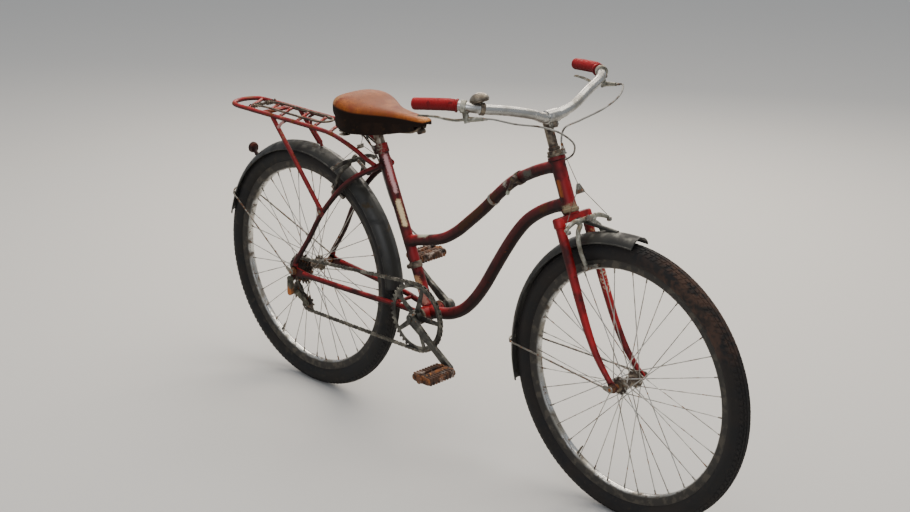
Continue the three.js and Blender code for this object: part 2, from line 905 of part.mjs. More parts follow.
function bellGeometry() {
  const bellSide = 196;
  const foot = leverPlace([bellSide, -9, 54 + barRadius], -1);
  const dome = lathe(
    [
      [0, 0],
      [6, 0],
      [6, 8],
      [bellRadius, 8],
      [bellRadius, 11],
      [bellRadius * 0.92, 17],
      [bellRadius * 0.7, 22],
      [bellRadius * 0.35, 25],
      [0, 26],
    ],
    12,
  );
  const clamp = rod(leverPlace([bellSide - 5, -7, 52], -1), leverPlace([bellSide + 5, -11, 57], -1), barRadius + 3.5, 12);
  return cut(join(stand(dome, foot, steeringUp), clamp), barEnvelope);
}

// Brakes: arm points as [radius from the axle, forward of the brake's own line, side]
const brakeArmPoints = [
  [371, 4, 72],
  [381, 4, 50],
  [384, 4, 30],
  [374, 4, 22],
  [362, 5, 34],
  [343, 5, 41],
  [312, 3, 41],
  [292, 3, 38],
];
const brakePadRadius = rimSeatRadius - 9.5;
const brakeBridgeRadius = 383;

function brakeGeometry(place, boltBack) {
  const pieces = [];
  for (const side of [-1, 1]) {
    const armPoints = brakeArmPoints.map(([radius, forward, y]) => place(radius, forward, side * y));
    pieces.push(tube(armPoints, 4.6, 5, 7));
    pieces.push(rod(place(294, 3, side * 38), place(brakePadRadius, 3, side * 36), 4.6, 5));
    pieces.push(
      rod(place(brakePadRadius, 3, side * 40), place(brakePadRadius, 3, side * (rimHalfWidth + 8)), 4, 5),
    );
    const padSide = side * (rimHalfWidth + runningGap + 4);
    pieces.push(
      rod(place(brakePadRadius, -24, padSide), place(brakePadRadius, 28, padSide), 4, 6),
    );
  }
  pieces.push(rod(place(brakeBridgeRadius, 4, -32), place(brakeBridgeRadius, 4, 32), 6, 6));
  pieces.push(rod(place(brakeBridgeRadius, 12, 0), place(brakeBridgeRadius, boltBack, 0), 4.5, 6));
  return join(...pieces);
}

function frontBrakePlace(radius, forward, side) {
  return steered(radius, forkRake + forward, side);
}

const rearBrakeAngle = 60.5;
const rearBridgeBack = 46;
const bridgeRadius = 5;

// The rear brake lies behind the stays, so its forward is turned about the rear axle.
function rearBrakePlace(radius, forward, side) {
  const along = polar(vec(0, 0, 0), 1, rearBrakeAngle, 0);
  const across = polar(vec(0, 0, 0), 1, rearBrakeAngle + 90, 0);
  return rearAxle
    .clone()
    .addScaledVector(along, radius)
    .addScaledVector(across, forward)
    .add(vec(0, side, 0));
}

// The straddle wires run from a yoke to the ends of the brake's arms.
const yokeUp = 450;
const yokeForward = 44;

function straddleGeometry(place, yoke, wireTop) {
  const armEnd = brakeArmPoints[0];
  const reach = 7;
  const pieces = [rod(yoke.clone().add(vec(0, -11, 0)), yoke.clone().add(vec(0, 11, 0)), 4, 8)];
  pieces.push(rod(yoke, wireTop, wireRadius, 6));
  for (const side of [-1, 1]) {
    const foot = place(armEnd[0] + reach, armEnd[1], side * (armEnd[2] - 1));
    pieces.push(rod(yoke.clone().add(vec(0, side * 9, 0)), foot, wireRadius, 6));
  }
  return join(...pieces);
}

// Fenders
const fenderHalfTurn = 68;
const fenderSectionSteps = 5;

// The flats along the crown of the faceted shell lie a little inside its nominal radius.
function fenderCrownFlat(crownRadius) {
  const sectionFlat = fenderSectionRadius * Math.cos((fenderHalfTurn / fenderSectionSteps) * DEGREE);
  return (crownRadius - fenderSectionRadius + sectionFlat) * Math.cos(Math.PI / wheelSegments);
}

function fenderShell(crownRadius, fromAngle, toAngle, axle) {
  const sectionCentre = crownRadius - fenderSectionRadius;
  const outer = [];
  const inner = [];
  for (let i = 0; i <= fenderSectionSteps; i++) {
    const turn = (-1 + (2 * i) / fenderSectionSteps) * fenderHalfTurn * DEGREE;
    const innerRadius = fenderSectionRadius - fenderThickness;
    outer.push([sectionCentre + fenderSectionRadius * Math.cos(turn), fenderSectionRadius * Math.sin(turn)]);
    inner.push([sectionCentre + innerRadius * Math.cos(turn), innerRadius * Math.sin(turn)]);
  }
  const ring = lathe([...outer, ...inner.reverse()]);
  const slice = [[0, 0]];
  const wedgeSteps = 10;
  for (let i = 0; i <= wedgeSteps; i++) {
    const turn = (fromAngle + ((toAngle - fromAngle) * i) / wedgeSteps) * DEGREE;
    slice.push([crownRadius * 1.5 * Math.cos(turn), crownRadius * 1.5 * Math.sin(turn)]);
  }
  const shell = overlap(ring, plate(slice, -60, 60));
  return shell.translate(axle.x, axle.y, axle.z);
}

const rearFenderStart = 4;
const rearFenderEnd = 168;
const frontFenderStart = 86.5;
const frontFenderEnd = 195;

function rearFenderGeometry() {
  const shell = fenderShell(rearFenderRadius, rearFenderStart, rearFenderEnd, rearAxle);
  const bridge = rearBrakePlace(brakeBridgeRadius, -rearBridgeBack, 0);
  const outward = bridge.clone().sub(rearAxle).normalize();
  const tab = rod(
    rearAxle.clone().addScaledVector(outward, rearFenderRadius - 3),
    bridge.clone().addScaledVector(outward, -bridgeRadius - seatGap),
    4,
    6,
  );
  const foot = rod(
    polar(rearAxle, rearFenderRadius - 1, rearFenderStart + 0.6, 0),
    vec(chainStayBridgeX, 0, chainStayBridgeHeight + bridgeRadius + seatGap),
    4,
    6,
  );
  return join(shell, tab, foot);
}

function frontFenderGeometry() {
  const shell = fenderShell(frontFenderRadius, frontFenderStart, frontFenderEnd, frontAxle);
  const bracket = rod(
    frontBrakePlace(frontFenderRadius - 3, -forkRake + 6, 0),
    frontBrakePlace(crownHeight - seatGap, -forkRake + 6, 0),
    6,
    8,
  );
  return join(shell, bracket);
}

// A wire stay runs from one axle end round the fender's back to the other end.
function fenderStayGeometry(axle, crownRadius, angle, axleSide, footAngle) {
  const wrapRadius = fenderSectionRadius + stayWireRadius + seatGap + 0.4;
  const centreRadius = crownRadius - fenderSectionRadius;
  const hoop = [-74, -48, -24, 0, 24, 48, 74].map((turn) =>
    polar(
      axle,
      centreRadius + wrapRadius * Math.cos(turn * DEGREE),
      angle,
      wrapRadius * Math.sin(turn * DEGREE),
    ),
  );
  const pieces = [tube(hoop, stayWireRadius, 4, 8)];
  for (const side of [-1, 1]) {
    const hoopEnd = side < 0 ? hoop[0] : hoop[hoop.length - 1];
    const foot = polar(axle, 16, footAngle, side * axleSide);
    pieces.push(rod(hoopEnd, foot, stayWireRadius, 4));
    const eyeHalf = 1.2;
    pieces.push(
      crossRod(foot.x, foot.z, side * (axleSide - eyeHalf - 1), side * (axleSide + eyeHalf), 5, 6),
    );
    pieces.push(
      linkPlate(
        axle,
        foot,
        nutRadius - 1,
        5,
        side * (axleSide - eyeHalf),
        side * (axleSide + eyeHalf),
      ),
    );
  }
  const axleHole = crossRod(axle.x, axle.z, -90, 90, axleRadius + bearingGap, 10);
  return cut(join(...pieces), axleHole);
}

// Carrier
const railStations = [
  [rackLoopStart, 47, 0],
  [-200, 48, 0],
  [-60, 48, 0],
  [60, 48, 0],
  [140, 47, -3],
  [190, 44, -16],
  [232, 39, -33],
  [262, 33, -50],
  [286, 27, -62],
];

function railPath(side) {
  return railStations.map(([x, y, rise]) => vec(x, side * y, rackHeight + rise));
}

// The carrier's tube runs down one rail, round the rear loop and up the other rail.
function rackTube(radius) {
  const loopSteps = 6;
  const loop = [];
  for (let i = 0; i <= loopSteps; i++) {
    const turn = (i / loopSteps - 0.5) * Math.PI;
    loop.push(
      vec(
        rackLoopStart - rackLoopDepth * Math.cos(turn),
        rackHalfWidth * Math.sin(turn),
        rackHeight,
      ),
    );
  }
  const right = railPath(-1).reverse();
  const left = railPath(1);
  const path = [...right.slice(0, -1), ...loop.slice(1, -1), ...left.slice(1)];
  return tube(path, radius, 6, 36);
}

const rungForward = [-223, -150, -95, -25, 45, 110];
const rungSlant = 26;
const rungRadius = 4.5;

function rackRungs(growth = 0) {
  return join(
    ...rungForward.map((x) =>
      rod(
        vec(x + rungSlant, -rackHalfWidth, rackHeight),
        vec(x - rungSlant, rackHalfWidth, rackHeight),
        rungRadius + growth,
        4,
      ),
    ),
  );
}

function rackDeckGeometry() {
  const pieces = [rackTube(rackTubeRadius), rackRungs()];
  const flatRung = new THREE.BoxGeometry(22, 2 * rackHalfWidth, 8).translate(-130, 0, rackHeight + 1);
  pieces.push(flatRung);
  const strapTop = vec(8, 0, rackHeight);
  const strapFoot = polar(rearAxle, rearFenderRadius + 2.2, 82, 0);
  pieces.push(rod(vec(-25, 0, rackHeight), vec(45, 0, rackHeight), 3.5, 8));
  pieces.push(rod(strapTop, strapFoot, 3.5, 8));
  const stays = [-1, 1].map((side) => seatStayTube(side, seatStayRadius + seatGap));
  return cut(join(...pieces), seatTubeEnvelope, ...stays);
}

function rackClipGeometry() {
  const lift = rackHeight + rackTubeRadius + 3.4;
  const clipHinge = -190;
  const path = [
    vec(clipHinge, -26, lift - 4),
    vec(-150, -27, lift),
    vec(-40, -27, lift),
    vec(50, -26, lift),
    vec(78, -16, lift),
    vec(86, 0, lift),
    vec(78, 16, lift),
    vec(50, 26, lift),
    vec(-40, 27, lift),
    vec(-150, 27, lift),
    vec(clipHinge, 26, lift - 4),
  ];
  const hinge = rod(vec(clipHinge, -31, lift - 4), vec(clipHinge, 31, lift - 4), 4.2, 8);
  return join(tube(path, 3, 5, 18), hinge);
}

function rackStrutGeometry(side) {
  const top = vec(rackStrutTop, side * rackHalfWidth, rackHeight - 2);
  const foot = vec(109, side * 57, 524);
  const strut = rod(top, foot, rackTubeRadius, 10);
  const gusset = rod(
    top.clone().lerp(foot, 0.13),
    vec(rackStrutTop + 56, side * rackHalfWidth, rackHeight - 3),
    4,
    8,
  );
  const stay = seatStayTube(side, seatStayRadius + seatGap);
  return cut(join(strut, gusset), rackTube(rackTubeRadius + seatGap), rackRungs(seatGap), stay);
}

function tailReflectorGeometry() {
  const angle = 130.5;
  const seat = polar(rearAxle, fenderCrownFlat(rearFenderRadius) + seatGap, angle, 0);
  const bracket = rod(seat, polar(rearAxle, rearFenderRadius + 22, angle, 0), 5, 8);
  const centre = polar(rearAxle, rearFenderRadius + 24, angle, 0);
  const body = rod(centre.clone().add(vec(8, 0, 0)), centre.clone().add(vec(-9, 0, 0)), reflectorRadius, 16);
  return join(bracket, body);
}

// Saddle
function saddleSection([x, halfWidth, top, bottom]) {
  const count = 14;
  const middle = (top + bottom) / 2;
  const half = (top - bottom) / 2;
  const ring = [];
  for (let i = 0; i < count; i++) {
    const turn = ((i + 0.5) / count) * 2 * Math.PI;
    const across = Math.sign(Math.cos(turn)) * Math.abs(Math.cos(turn)) ** 0.55;
    const upward = Math.sign(Math.sin(turn)) * Math.abs(Math.sin(turn)) ** 0.6;
    ring.push(vec(x, halfWidth * across, middle + half * upward));
  }
  return ring;
}

function saddleGeometry() {
  return loft(saddleStations.map(saddleSection));
}

const saddleClampHeight = 768;

function saddleFrameGeometry() {
  const clampX = onSeatTube(seatTubeLength + seatPostExposed).x - 3;
  const pieces = [crossRod(clampX, saddleClampHeight, -26, 26, 10, 10)];
  for (const side of [-1, 1]) {
    const path = [
      vec(190, side * 42, 752),
      vec(215, side * 34, 757),
      vec(clampX, side * 20, saddleClampHeight),
      vec(330, side * 14, 777),
      vec(405, side * 10, 788),
      vec(430, side * 8, 803),
    ];
    pieces.push(tube(path, railRadius, 5, 8));
    pieces.push(rod(vec(190, side * 42, 746), vec(190, side * 42, 800), springRadius, 8));
  }
  pieces.push(rod(vec(190, -42, 750), vec(190, 42, 750), railRadius + 1, 8));
  pieces.push(crossRod(426, 791, -11, 11, 6, 8));
  const post = rod(
    onSeatTube(seatTubeLength),
    onSeatTube(seatTubeLength + seatPostExposed + 10),
    seatPostRadius + seatGap,
    16,
  );
  return cut(join(...pieces), post, saddleGeometry().translate(0, 0, -seatGap));
}

function seatPostGeometry() {
  return rod(
    onSeatTube(seatTubeLength - seatPostInsertion),
    onSeatTube(seatTubeLength + seatPostExposed),
    seatPostRadius,
    16,
  );
}

// Drive: the pulleys and sprockets as {x, z, radius, turn}, with turn 1 against the clock
// when seen from the right, in the order in which the chain meets them.
const chainWheels = [
  { x: bottomBracket.x, z: bottomBracket.z, radius: ringRadius, turn: -1 },
  { x: tensionPulley.x, z: tensionPulley.z, radius: pulleyRadius, turn: -1 },
  { x: guidePulley.x, z: guidePulley.z, radius: pulleyRadius, turn: 1 },
  { x: rearAxle.x, z: rearAxle.z, radius: sprocketRadius, turn: -1 },
];

// The straight stretch from one chain wheel to the next, and its direction
function chainStretch(from, to) {
  const deltaX = to.x - from.x;
  const deltaZ = to.z - from.z;
  const apart = Math.hypot(deltaX, deltaZ);
  const rise = (to.turn * to.radius - from.turn * from.radius) / apart;
  const heading = Math.atan2(deltaZ, deltaX) - Math.asin(rise);
  const touch = (wheelPlace) => [
    wheelPlace.x + wheelPlace.turn * wheelPlace.radius * Math.sin(heading),
    wheelPlace.z - wheelPlace.turn * wheelPlace.radius * Math.cos(heading),
  ];
  return { heading, start: touch(from), end: touch(to) };
}

// The chain's loop as a list of short steps {x, z}, starting at the chainring's front
function chainLoop() {
  const count = chainWheels.length;
  const stretches = chainWheels.map((wheelPlace, i) =>
    chainStretch(wheelPlace, chainWheels[(i + 1) % count]),
  );
  const points = [];
  const arcStep = 2 * DEGREE;
  const addArc = (wheelPlace, fromHeading, toHeading) => {
    let sweep = (toHeading - fromHeading) * wheelPlace.turn;
    while (sweep < 0) sweep += 2 * Math.PI;
    while (sweep >= 2 * Math.PI) sweep -= 2 * Math.PI;
    const steps = Math.max(1, Math.ceil(sweep / arcStep));
    for (let i = 0; i <= steps; i++) {
      const heading = fromHeading + (wheelPlace.turn * sweep * i) / steps;
      points.push([
        wheelPlace.x + wheelPlace.turn * wheelPlace.radius * Math.sin(heading),
        wheelPlace.z - wheelPlace.turn * wheelPlace.radius * Math.cos(heading),
      ]);
    }
  };
  const frontHeading = -Math.PI / 2;
  addArc(chainWheels[0], frontHeading, stretches[0].heading);
  for (let i = 1; i < count; i++) {
    addArc(chainWheels[i], stretches[i - 1].heading, stretches[i].heading);
  }
  addArc(chainWheels[0], stretches[count - 1].heading, frontHeading);
  return points;
}

// Pins at even steps along the loop, an even number of them
function chainPins() {
  const points = chainLoop();
  const distances = [0];
  for (let i = 1; i < points.length; i++) {
    const step = Math.hypot(points[i][0] - points[i - 1][0], points[i][1] - points[i - 1][1]);
    distances.push(distances[i - 1] + step);
  }
  const total = distances[distances.length - 1];
  const arcPitch = (2 * Math.PI * ringRadius) / ringTeeth;
  const count = 2 * Math.round(total / arcPitch / 2);
  const pins = [];
  let segment = 1;
  for (let i = 0; i < count; i++) {
    const distance = (total * i) / count;
    while (distances[segment] < distance) segment += 1;
    const share = (distance - distances[segment - 1]) / (distances[segment] - distances[segment - 1]);
    const from = points[segment - 1];
    const to = points[segment];
    pins.push([from[0] + (to[0] - from[0]) * share, from[1] + (to[1] - from[1]) * share]);
  }
  return pins;
}

// The chain is one closed band whose width steps between its outer and inner links.
function chainGeometry() {
  const pins = chainPins();
  const rings = [];
  const count = pins.length;
  for (let i = 0; i < count; i++) {
    const here = pins[i];
    const next = pins[(i + 1) % count];
    const previous = pins[(i + count - 1) % count];
    const heading = Math.atan2(next[1] - previous[1], next[0] - previous[0]);
    const step = chainPitch * 0.18;
    for (const part of [-1, 1]) {
      const isOuter = (i + (part > 0 ? 1 : 0)) % 2 === 0;
      const halfWidth = isOuter ? chainOuterHalfWidth : chainInnerHalfWidth;
      const x = here[0] + part * step * Math.cos(heading);
      const z = here[1] + part * step * Math.sin(heading);
      const acrossX = -Math.sin(heading) * chainHalfHeight;
      const acrossZ = Math.cos(heading) * chainHalfHeight;
      rings.push([
        vec(x - acrossX, -chainLine - halfWidth, z - acrossZ),
        vec(x - acrossX, -chainLine + halfWidth, z - acrossZ),
        vec(x + acrossX, -chainLine + halfWidth, z + acrossZ),
        vec(x + acrossX, -chainLine - halfWidth, z + acrossZ),
      ]);
    }
  }
  return loft(rings, true);
}

function chainringGeometry() {
  const chordRadius = ringRadius * Math.cos(Math.PI / ringTeeth);
  const rimRadius = chordRadius - chainHalfHeight - bearingGap;
  const half = ringThickness / 2;
  const band = lathe(
    [
      [rimRadius - ringBand, -half],
      [rimRadius, -half],
      [rimRadius, half],
      [rimRadius - ringBand, half],
    ],
    ringTeeth,
  );
  band.translate(bottomBracket.x, -chainLine, bottomBracket.z);
  const pieces = [band];
  pieces.push(
    crossRod(bottomBracket.x, bottomBracket.z, -chainLine + 4, -crankPlane + crankThickness / 2 + 1, 19, 16),
  );
  for (let i = 0; i < ringArms; i++) {
    const angle = -crankAngle + 36 + (i * 360) / ringArms;
    const start = polar(bottomBracket, 10, angle, -chainLine - 3);
    const end = polar(bottomBracket, rimRadius - ringBand * 0.5, angle, -chainLine - 2);
    pieces.push(rod(start, end, 7, 5, 4.5));
  }
  const spindle = crossRod(bottomBracket.x, bottomBracket.z, -80, -20, spindleRadius + seatGap, 16);
  return cut(join(...pieces), spindle);
}

function crankArm(direction, side) {
  const inner = side * (crankPlane - crankThickness / 2);
  const outer = side * (crankPlane + crankThickness / 2);
  const eye = bottomBracket.clone().addScaledVector(direction, crankLength);
  const arm = linkPlate(bottomBracket, eye, crankFootRadius, crankEyeRadius, inner, outer);
  const spindle = crossRod(
    eye.x,
    eye.z,
    side * crankPlane,
    side * (crankPlane + crankThickness / 2 + pedalWidth + 6),
    pedalSpindleRadius,
    12,
  );
  const cap = crossRod(
    eye.x,
    eye.z,
    side * (crankPlane + crankThickness / 2 + pedalWidth + 3),
    side * (crankPlane + crankThickness / 2 + pedalWidth + 8),
    pedalSpindleRadius + 3,
    12,
  );
  return join(arm, spindle, cap);
}

function crankRightGeometry() {
  const spindle = crossRod(bottomBracket.x, bottomBracket.z, -crankPlane, crankPlane + 10, spindleRadius, 16);
  return join(crankArm(rightCrank, -1), spindle);
}

function crankLeftGeometry() {
  const spindleHole = crossRod(bottomBracket.x, bottomBracket.z, 20, 90, spindleRadius + seatGap, 16);
  const boss = crossRod(
    bottomBracket.x,
    bottomBracket.z,
    crankPlane - crankThickness / 2 - 6,
    crankPlane + crankThickness / 2 + 4,
    17,
    16,
  );
  const arm = crankArm(rightCrank.clone().negate(), 1);
  return cut(join(arm, boss), spindleHole);
}

// A pedal has a barrel, two end plates and two tread blocks, made about its own spindle.
function pedalGeometry(side) {
  const near = side * (crankPlane + crankThickness / 2 + 3);
  const far = side * (crankPlane + crankThickness / 2 + pedalWidth);
  const plateThickness = 3;
  const blockDepth = 20;
  const pieces = [crossRod(0, 0, near, far, pedalSpindleRadius + 4.5, 12)];
  for (const edge of [near, far]) {
    const inward = edge === near ? side : -side;
    pieces.push(
      linkPlate(
        vec(-pedalDepth / 2 + 9, 0, 0),
        vec(pedalDepth / 2 - 9, 0, 0),
        9,
        9,
        edge,
        edge + inward * plateThickness,
      ),
    );
  }
  for (const end of [-1, 1]) {
    const block = new THREE.BoxGeometry(blockDepth, Math.abs(far - near) - 1, pedalHeight);
    block.translate((end * (pedalDepth - blockDepth)) / 2, (near + far) / 2, 0);
    pieces.push(block);
  }
  const bore = crossRod(0, 0, near - side * 2, far + side * 2, pedalSpindleRadius + bearingGap, 12);
  return cut(join(...pieces), bore);
}

function pedal(name, direction, side) {
  const piece = mesh(name, pedalGeometry(side), materials.rustySteel);
  piece.position.copy(bottomBracket).addScaledVector(direction, crankLength);
  return piece;
}

// The derailleur's cage holds both pulleys; its body hangs from the right dropout.
function derailleurGeometry() {
  const cageOuter = -chainLine - chainOuterHalfWidth - 1.4;
  const cageInner = -chainLine + chainOuterHalfWidth + 1.4;
  const cageThickness = 1.6;
  const pulleyDisc = pulleyRadius * Math.cos(Math.PI / pulleyTeeth) - chainHalfHeight - bearingGap;
  const pieces = [
    linkPlate(guidePulley, tensionPulley, 9, 9, cageOuter, cageOuter - cageThickness),
    linkPlate(guidePulley, tensionPulley, 9, 9, cageInner, cageInner + cageThickness),
  ];
  for (const pulley of [guidePulley, tensionPulley]) {
    pieces.push(crossRod(pulley.x, pulley.z, -chainLine - 1.2, -chainLine + 1.2, pulleyDisc, 12));
    pieces.push(
      crossRod(pulley.x, pulley.z, cageOuter - cageThickness - 2, cageInner + cageThickness, 3.5, 8),
    );
  }
  const hangerBolt = vec(-10, -rearDropoutSpread, axleHeight - 24);
  const bodySide = -rearDropoutSpread - dropoutThickness / 2 - seatGap;
  pieces.push(
    linkPlate(
      hangerBolt,
      guidePulley,
      8,
      8,
      bodySide,
      bodySide - 9,
    ),
  );
  pieces.push(
    crossRod(guidePulley.x, guidePulley.z, cageOuter - cageThickness, bodySide - 5, 7, 10),
  );
  return join(...pieces);
}

// The gear lever's band sits on the top tube; its lever points down.
function topTubeEnvelope() {
  return frameTube(topTubePoints, topTubeRadius + seatGap, 14);
}

function tubeBand(x, z, angle, length, sides) {
  const along = vec(Math.cos(angle * DEGREE), 0, Math.sin(angle * DEGREE));
  const centre = vec(x, 0, z);
  return rod(
    centre.clone().addScaledVector(along, -length / 2),
    centre.clone().addScaledVector(along, length / 2),
    topTubeRadius + 2.2,
    sides,
  );
}

function gearLeverGeometry() {
  const band = tubeBand(756, 745, 35, 14, 16);
  const boss = crossRod(756, 745, -topTubeRadius, -topTubeRadius - 12, 9, 12);
  const lever = rod(
    vec(756, -topTubeRadius - 8, 745),
    vec(738, -topTubeRadius - 9, 706),
    5,
    8,
    4,
  );
  return cut(join(band, boss, lever), topTubeEnvelope());
}

function cableClipGeometry() {
  return cut(tubeBand(672, 674, 43, 9, 16), topTubeEnvelope());
}

// Cables: points on their real routes
function frontBrakeCableGeometry() {
  const start = leverPlace(leverBarrelEnd, 1);
  const before = leverPlace(leverPivot, 1);
  const outward = start.clone().sub(before).normalize();
  const stopTop = steered(headTubeTop + bearingGap + 14 + seatGap, cableStopForward, 0);
  const path = [
    start.clone().addScaledVector(outward, seatGap),
    start.clone().addScaledVector(outward, 22),
    steered(barHeight + 6, stemReach + 58, 176),
    steered(barHeight - 14, stemReach + 62, 108),
    steered(barHeight - 26, stemReach + 42, 42),
    steered(barHeight - 34, stemReach + 20, 9),
    stopTop.clone().addScaledVector(steeringUp, 14),
    stopTop,
  ];
  return tube(path, cableRadius, cableSides, 20);
}

const cableEntry = vec(823, topTubeRadius + 7, 779);

// The loop of the rear brake's cable bends when the handlebar turns.
function rearBrakeCableLoopGeometry() {
  const start = leverPlace(leverBarrelEnd, -1);
  const before = leverPlace(leverPivot, -1);
  const outward = start.clone().sub(before).normalize();
  const path = [
    start.clone().addScaledVector(outward, seatGap),
    start.clone().addScaledVector(outward, 22),
    steered(barHeight + 4, stemReach + 54, -172),
    steered(barHeight - 16, stemReach + 62, -108),
    steered(barHeight - 42, stemReach + 54, -42),
    steered(barHeight - 76, stemReach + 32, 14),
    steered(barHeight - 98, stemReach - 2, 34),
    vec(856, 29, 799),
    cableEntry.clone().add(vec(2 * seatGap, 0, seatGap)),
  ];
  return tube(path, cableRadius, cableSides, 24);
}

const hangerHeight = 742;

function rearBrakeCableGeometry() {
  const side = topTubeRadius + 7;
  const path = [
    cableEntry,
    vec(779, side, 757),
    vec(734, side, 730),
    vec(688, side, 689),
    vec(642, side, 643),
    vec(594, side, 600),
    vec(545, side, 559),
    vec(495, side, 530),
    vec(430, side, 511),
    behindSeatTube(198, -8, side + 1),
    behindSeatTube(222, 10, side),
    behindSeatTube(250, 21, 12),
    behindSeatTube(285, 24, 3),
    behindSeatTube(345, 24, 0),
    behindSeatTube(400, 25, 0),
    behindSeatTube(440, 36, 0),
    behindSeatTube(478, 45, 0),
    vec(222, 0, 772),
    vec(213, 0, 766),
    vec(212, 0, hangerHeight + 12),
  ];
  return tube(path, cableRadius, cableSides, 36);
}

function cableHangerGeometry() {
  const bolt = onSeatTube(seatTubeLength - 12).add(vec(-19, 0, 0));
  const barrel = rod(vec(212, 0, hangerHeight - 6), vec(212, 0, hangerHeight + 12 - seatGap), 4.5, 8);
  const pieces = [barrel];
  for (const side of [-1, 1]) {
    pieces.push(rod(vec(212, side * 2, hangerHeight), vec(bolt.x - 4, side * 11, bolt.z), 2.5, 6));
  }
  const boltEnvelope = rod(
    bolt.clone().add(vec(0, -15, 0)),
    bolt.clone().add(vec(0, 15, 0)),
    6 + seatGap,
    8,
  );
  return cut(join(...pieces), boltEnvelope, seatTubeEnvelope);
}

const rearHubEnds = [chainLine + sprocketStep + 1, rearFlangeOffset + 9];
const frontHubEnds = [frontFlangeOffset + 9, frontFlangeOffset + 9];

// Assembly
const frame = groupOf(
  mesh("head_tube", headTubeGeometry(), materials.maroon),
  mesh("seat_tube", seatTubeGeometry(), materials.maroon),
  mesh(
    "top_tube",
    cut(frameTube(topTubePoints, topTubeRadius, 14), seatTubeEnvelope, headTubeEnvelope),
    materials.maroon,
  ),
  mesh(
    "down_tube",
    cut(frameTube(downTubePoints, downTubeRadius, 14), seatTubeEnvelope, shellEnvelope, headTubeEnvelope),
    materials.maroon,
  ),
  mesh("chain_stay_right", chainStayGeometry(-1), materials.maroon),
  mesh("chain_stay_left", chainStayGeometry(1), materials.maroon),
  mesh("seat_stay_right", seatStayGeometry(-1), materials.maroon),
  mesh("seat_stay_left", seatStayGeometry(1), materials.maroon),
  chainStayBridge(),
  ...bridges(),
  mesh("seat_tube_band", seatTubeBandGeometry(), materials.alloy),
  axleGeometry("rear_axle", rearAxle, rearDropoutSpread, rearHubEnds),
  mesh("rear_fender", rearFenderGeometry(), materials.fenderGrey),
  mesh(
    "rear_fender_stay",
    fenderStayGeometry(rearAxle, rearFenderRadius, 154, rearDropoutSpread + 12.5, 154),
    materials.dullSteel,
  ),
  mesh("tail_reflector", tailReflectorGeometry(), materials.reflector),
  mesh("rack_deck", rackDeckGeometry(), materials.maroon),
  mesh("rack_clip", rackClipGeometry(), materials.maroon),
  mesh("rack_strut_right", rackStrutGeometry(-1), materials.maroon),
  mesh("rack_strut_left", rackStrutGeometry(1), materials.maroon),
  mesh("seat_post", seatPostGeometry(), materials.dullSteel),
  mesh("saddle_frame", saddleFrameGeometry(), materials.dullSteel),
  mesh("saddle", saddleGeometry(), materials.leather),
  mesh("rear_brake", brakeGeometry(rearBrakePlace, bridgeRadius + seatGap - rearBridgeBack), materials.alloy),
  mesh("rear_derailleur", derailleurGeometry(), materials.dullSteel),
  mesh("chain", chainGeometry(), materials.dullSteel),
  mesh("gear_lever", gearLeverGeometry(), materials.alloy),
  mesh("cable_clip", cableClipGeometry(), materials.alloy),
  mesh("rear_brake_cable", rearBrakeCableGeometry(), materials.blackCable),
  mesh("rear_cable_hanger", cableHangerGeometry(), materials.alloy),
);

const steering = groupOf(
  mesh("fork", forkGeometry(), materials.maroon),
  mesh("lock_nut", lockNutGeometry(), materials.dullSteel),
  mesh("stem", stemGeometry(), materials.dullSteel),
  mesh("handlebar", barTube(barRadius), materials.chrome),
  mesh("grip_right", gripGeometry(-1), materials.grip),
  mesh("grip_left", gripGeometry(1), materials.grip),
  mesh("brake_lever_right", brakeLeverGeometry(-1), materials.alloy),
  mesh("brake_lever_left", brakeLeverGeometry(1), materials.alloy),
  mesh("bell", bellGeometry(), materials.chrome),
  axleGeometry("front_axle", frontAxle, frontDropoutSpread, frontHubEnds),
  mesh("front_fender", frontFenderGeometry(), materials.fenderGrey),
  mesh(
    "front_fender_stay",
    fenderStayGeometry(frontAxle, frontFenderRadius, 178, frontDropoutSpread + 12.5, 178),
    materials.dullSteel,
  ),
  mesh("front_brake", brakeGeometry(frontBrakePlace, -15), materials.alloy),
  mesh("front_brake_cable", frontBrakeCableGeometry(), materials.blackCable),
  mesh("rear_brake_cable_loop", rearBrakeCableLoopGeometry(), materials.blackCable),
  mesh(
    "front_straddle_wire",
    straddleGeometry(
      frontBrakePlace,
      steered(yokeUp, yokeForward, 0),
      steered(headTubeTop + bearingGap - seatGap, cableStopForward, 0),
    ),
    materials.dullSteel,
  ),
);

const frontWheel = wheel("front", frontAxle, frontFlangeOffset);

const rearWheel = wheel("rear", rearAxle, rearFlangeOffset);
rearWheel.add(mesh("rear_sprockets", sprocketsGeometry(), materials.dullSteel));

const crankset = groupOf(
  mesh("crank_right", crankRightGeometry(), materials.dullSteel),
  mesh("crank_left", crankLeftGeometry(), materials.dullSteel),
  mesh("chainring", chainringGeometry(), materials.dullSteel),
);

const pedals = groupOf(
  pedal("pedal_right", rightCrank, -1),
  pedal("pedal_left", rightCrank.clone().negate(), 1),
);

const bicycle = new THREE.Group();
bicycle.add(frame, steering, frontWheel, rearWheel, crankset, pedals);
bicycle.position.copy(riderPoint).negate();

export default bicycle;
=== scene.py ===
import math

import bmesh
import bpy
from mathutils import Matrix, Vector, noise


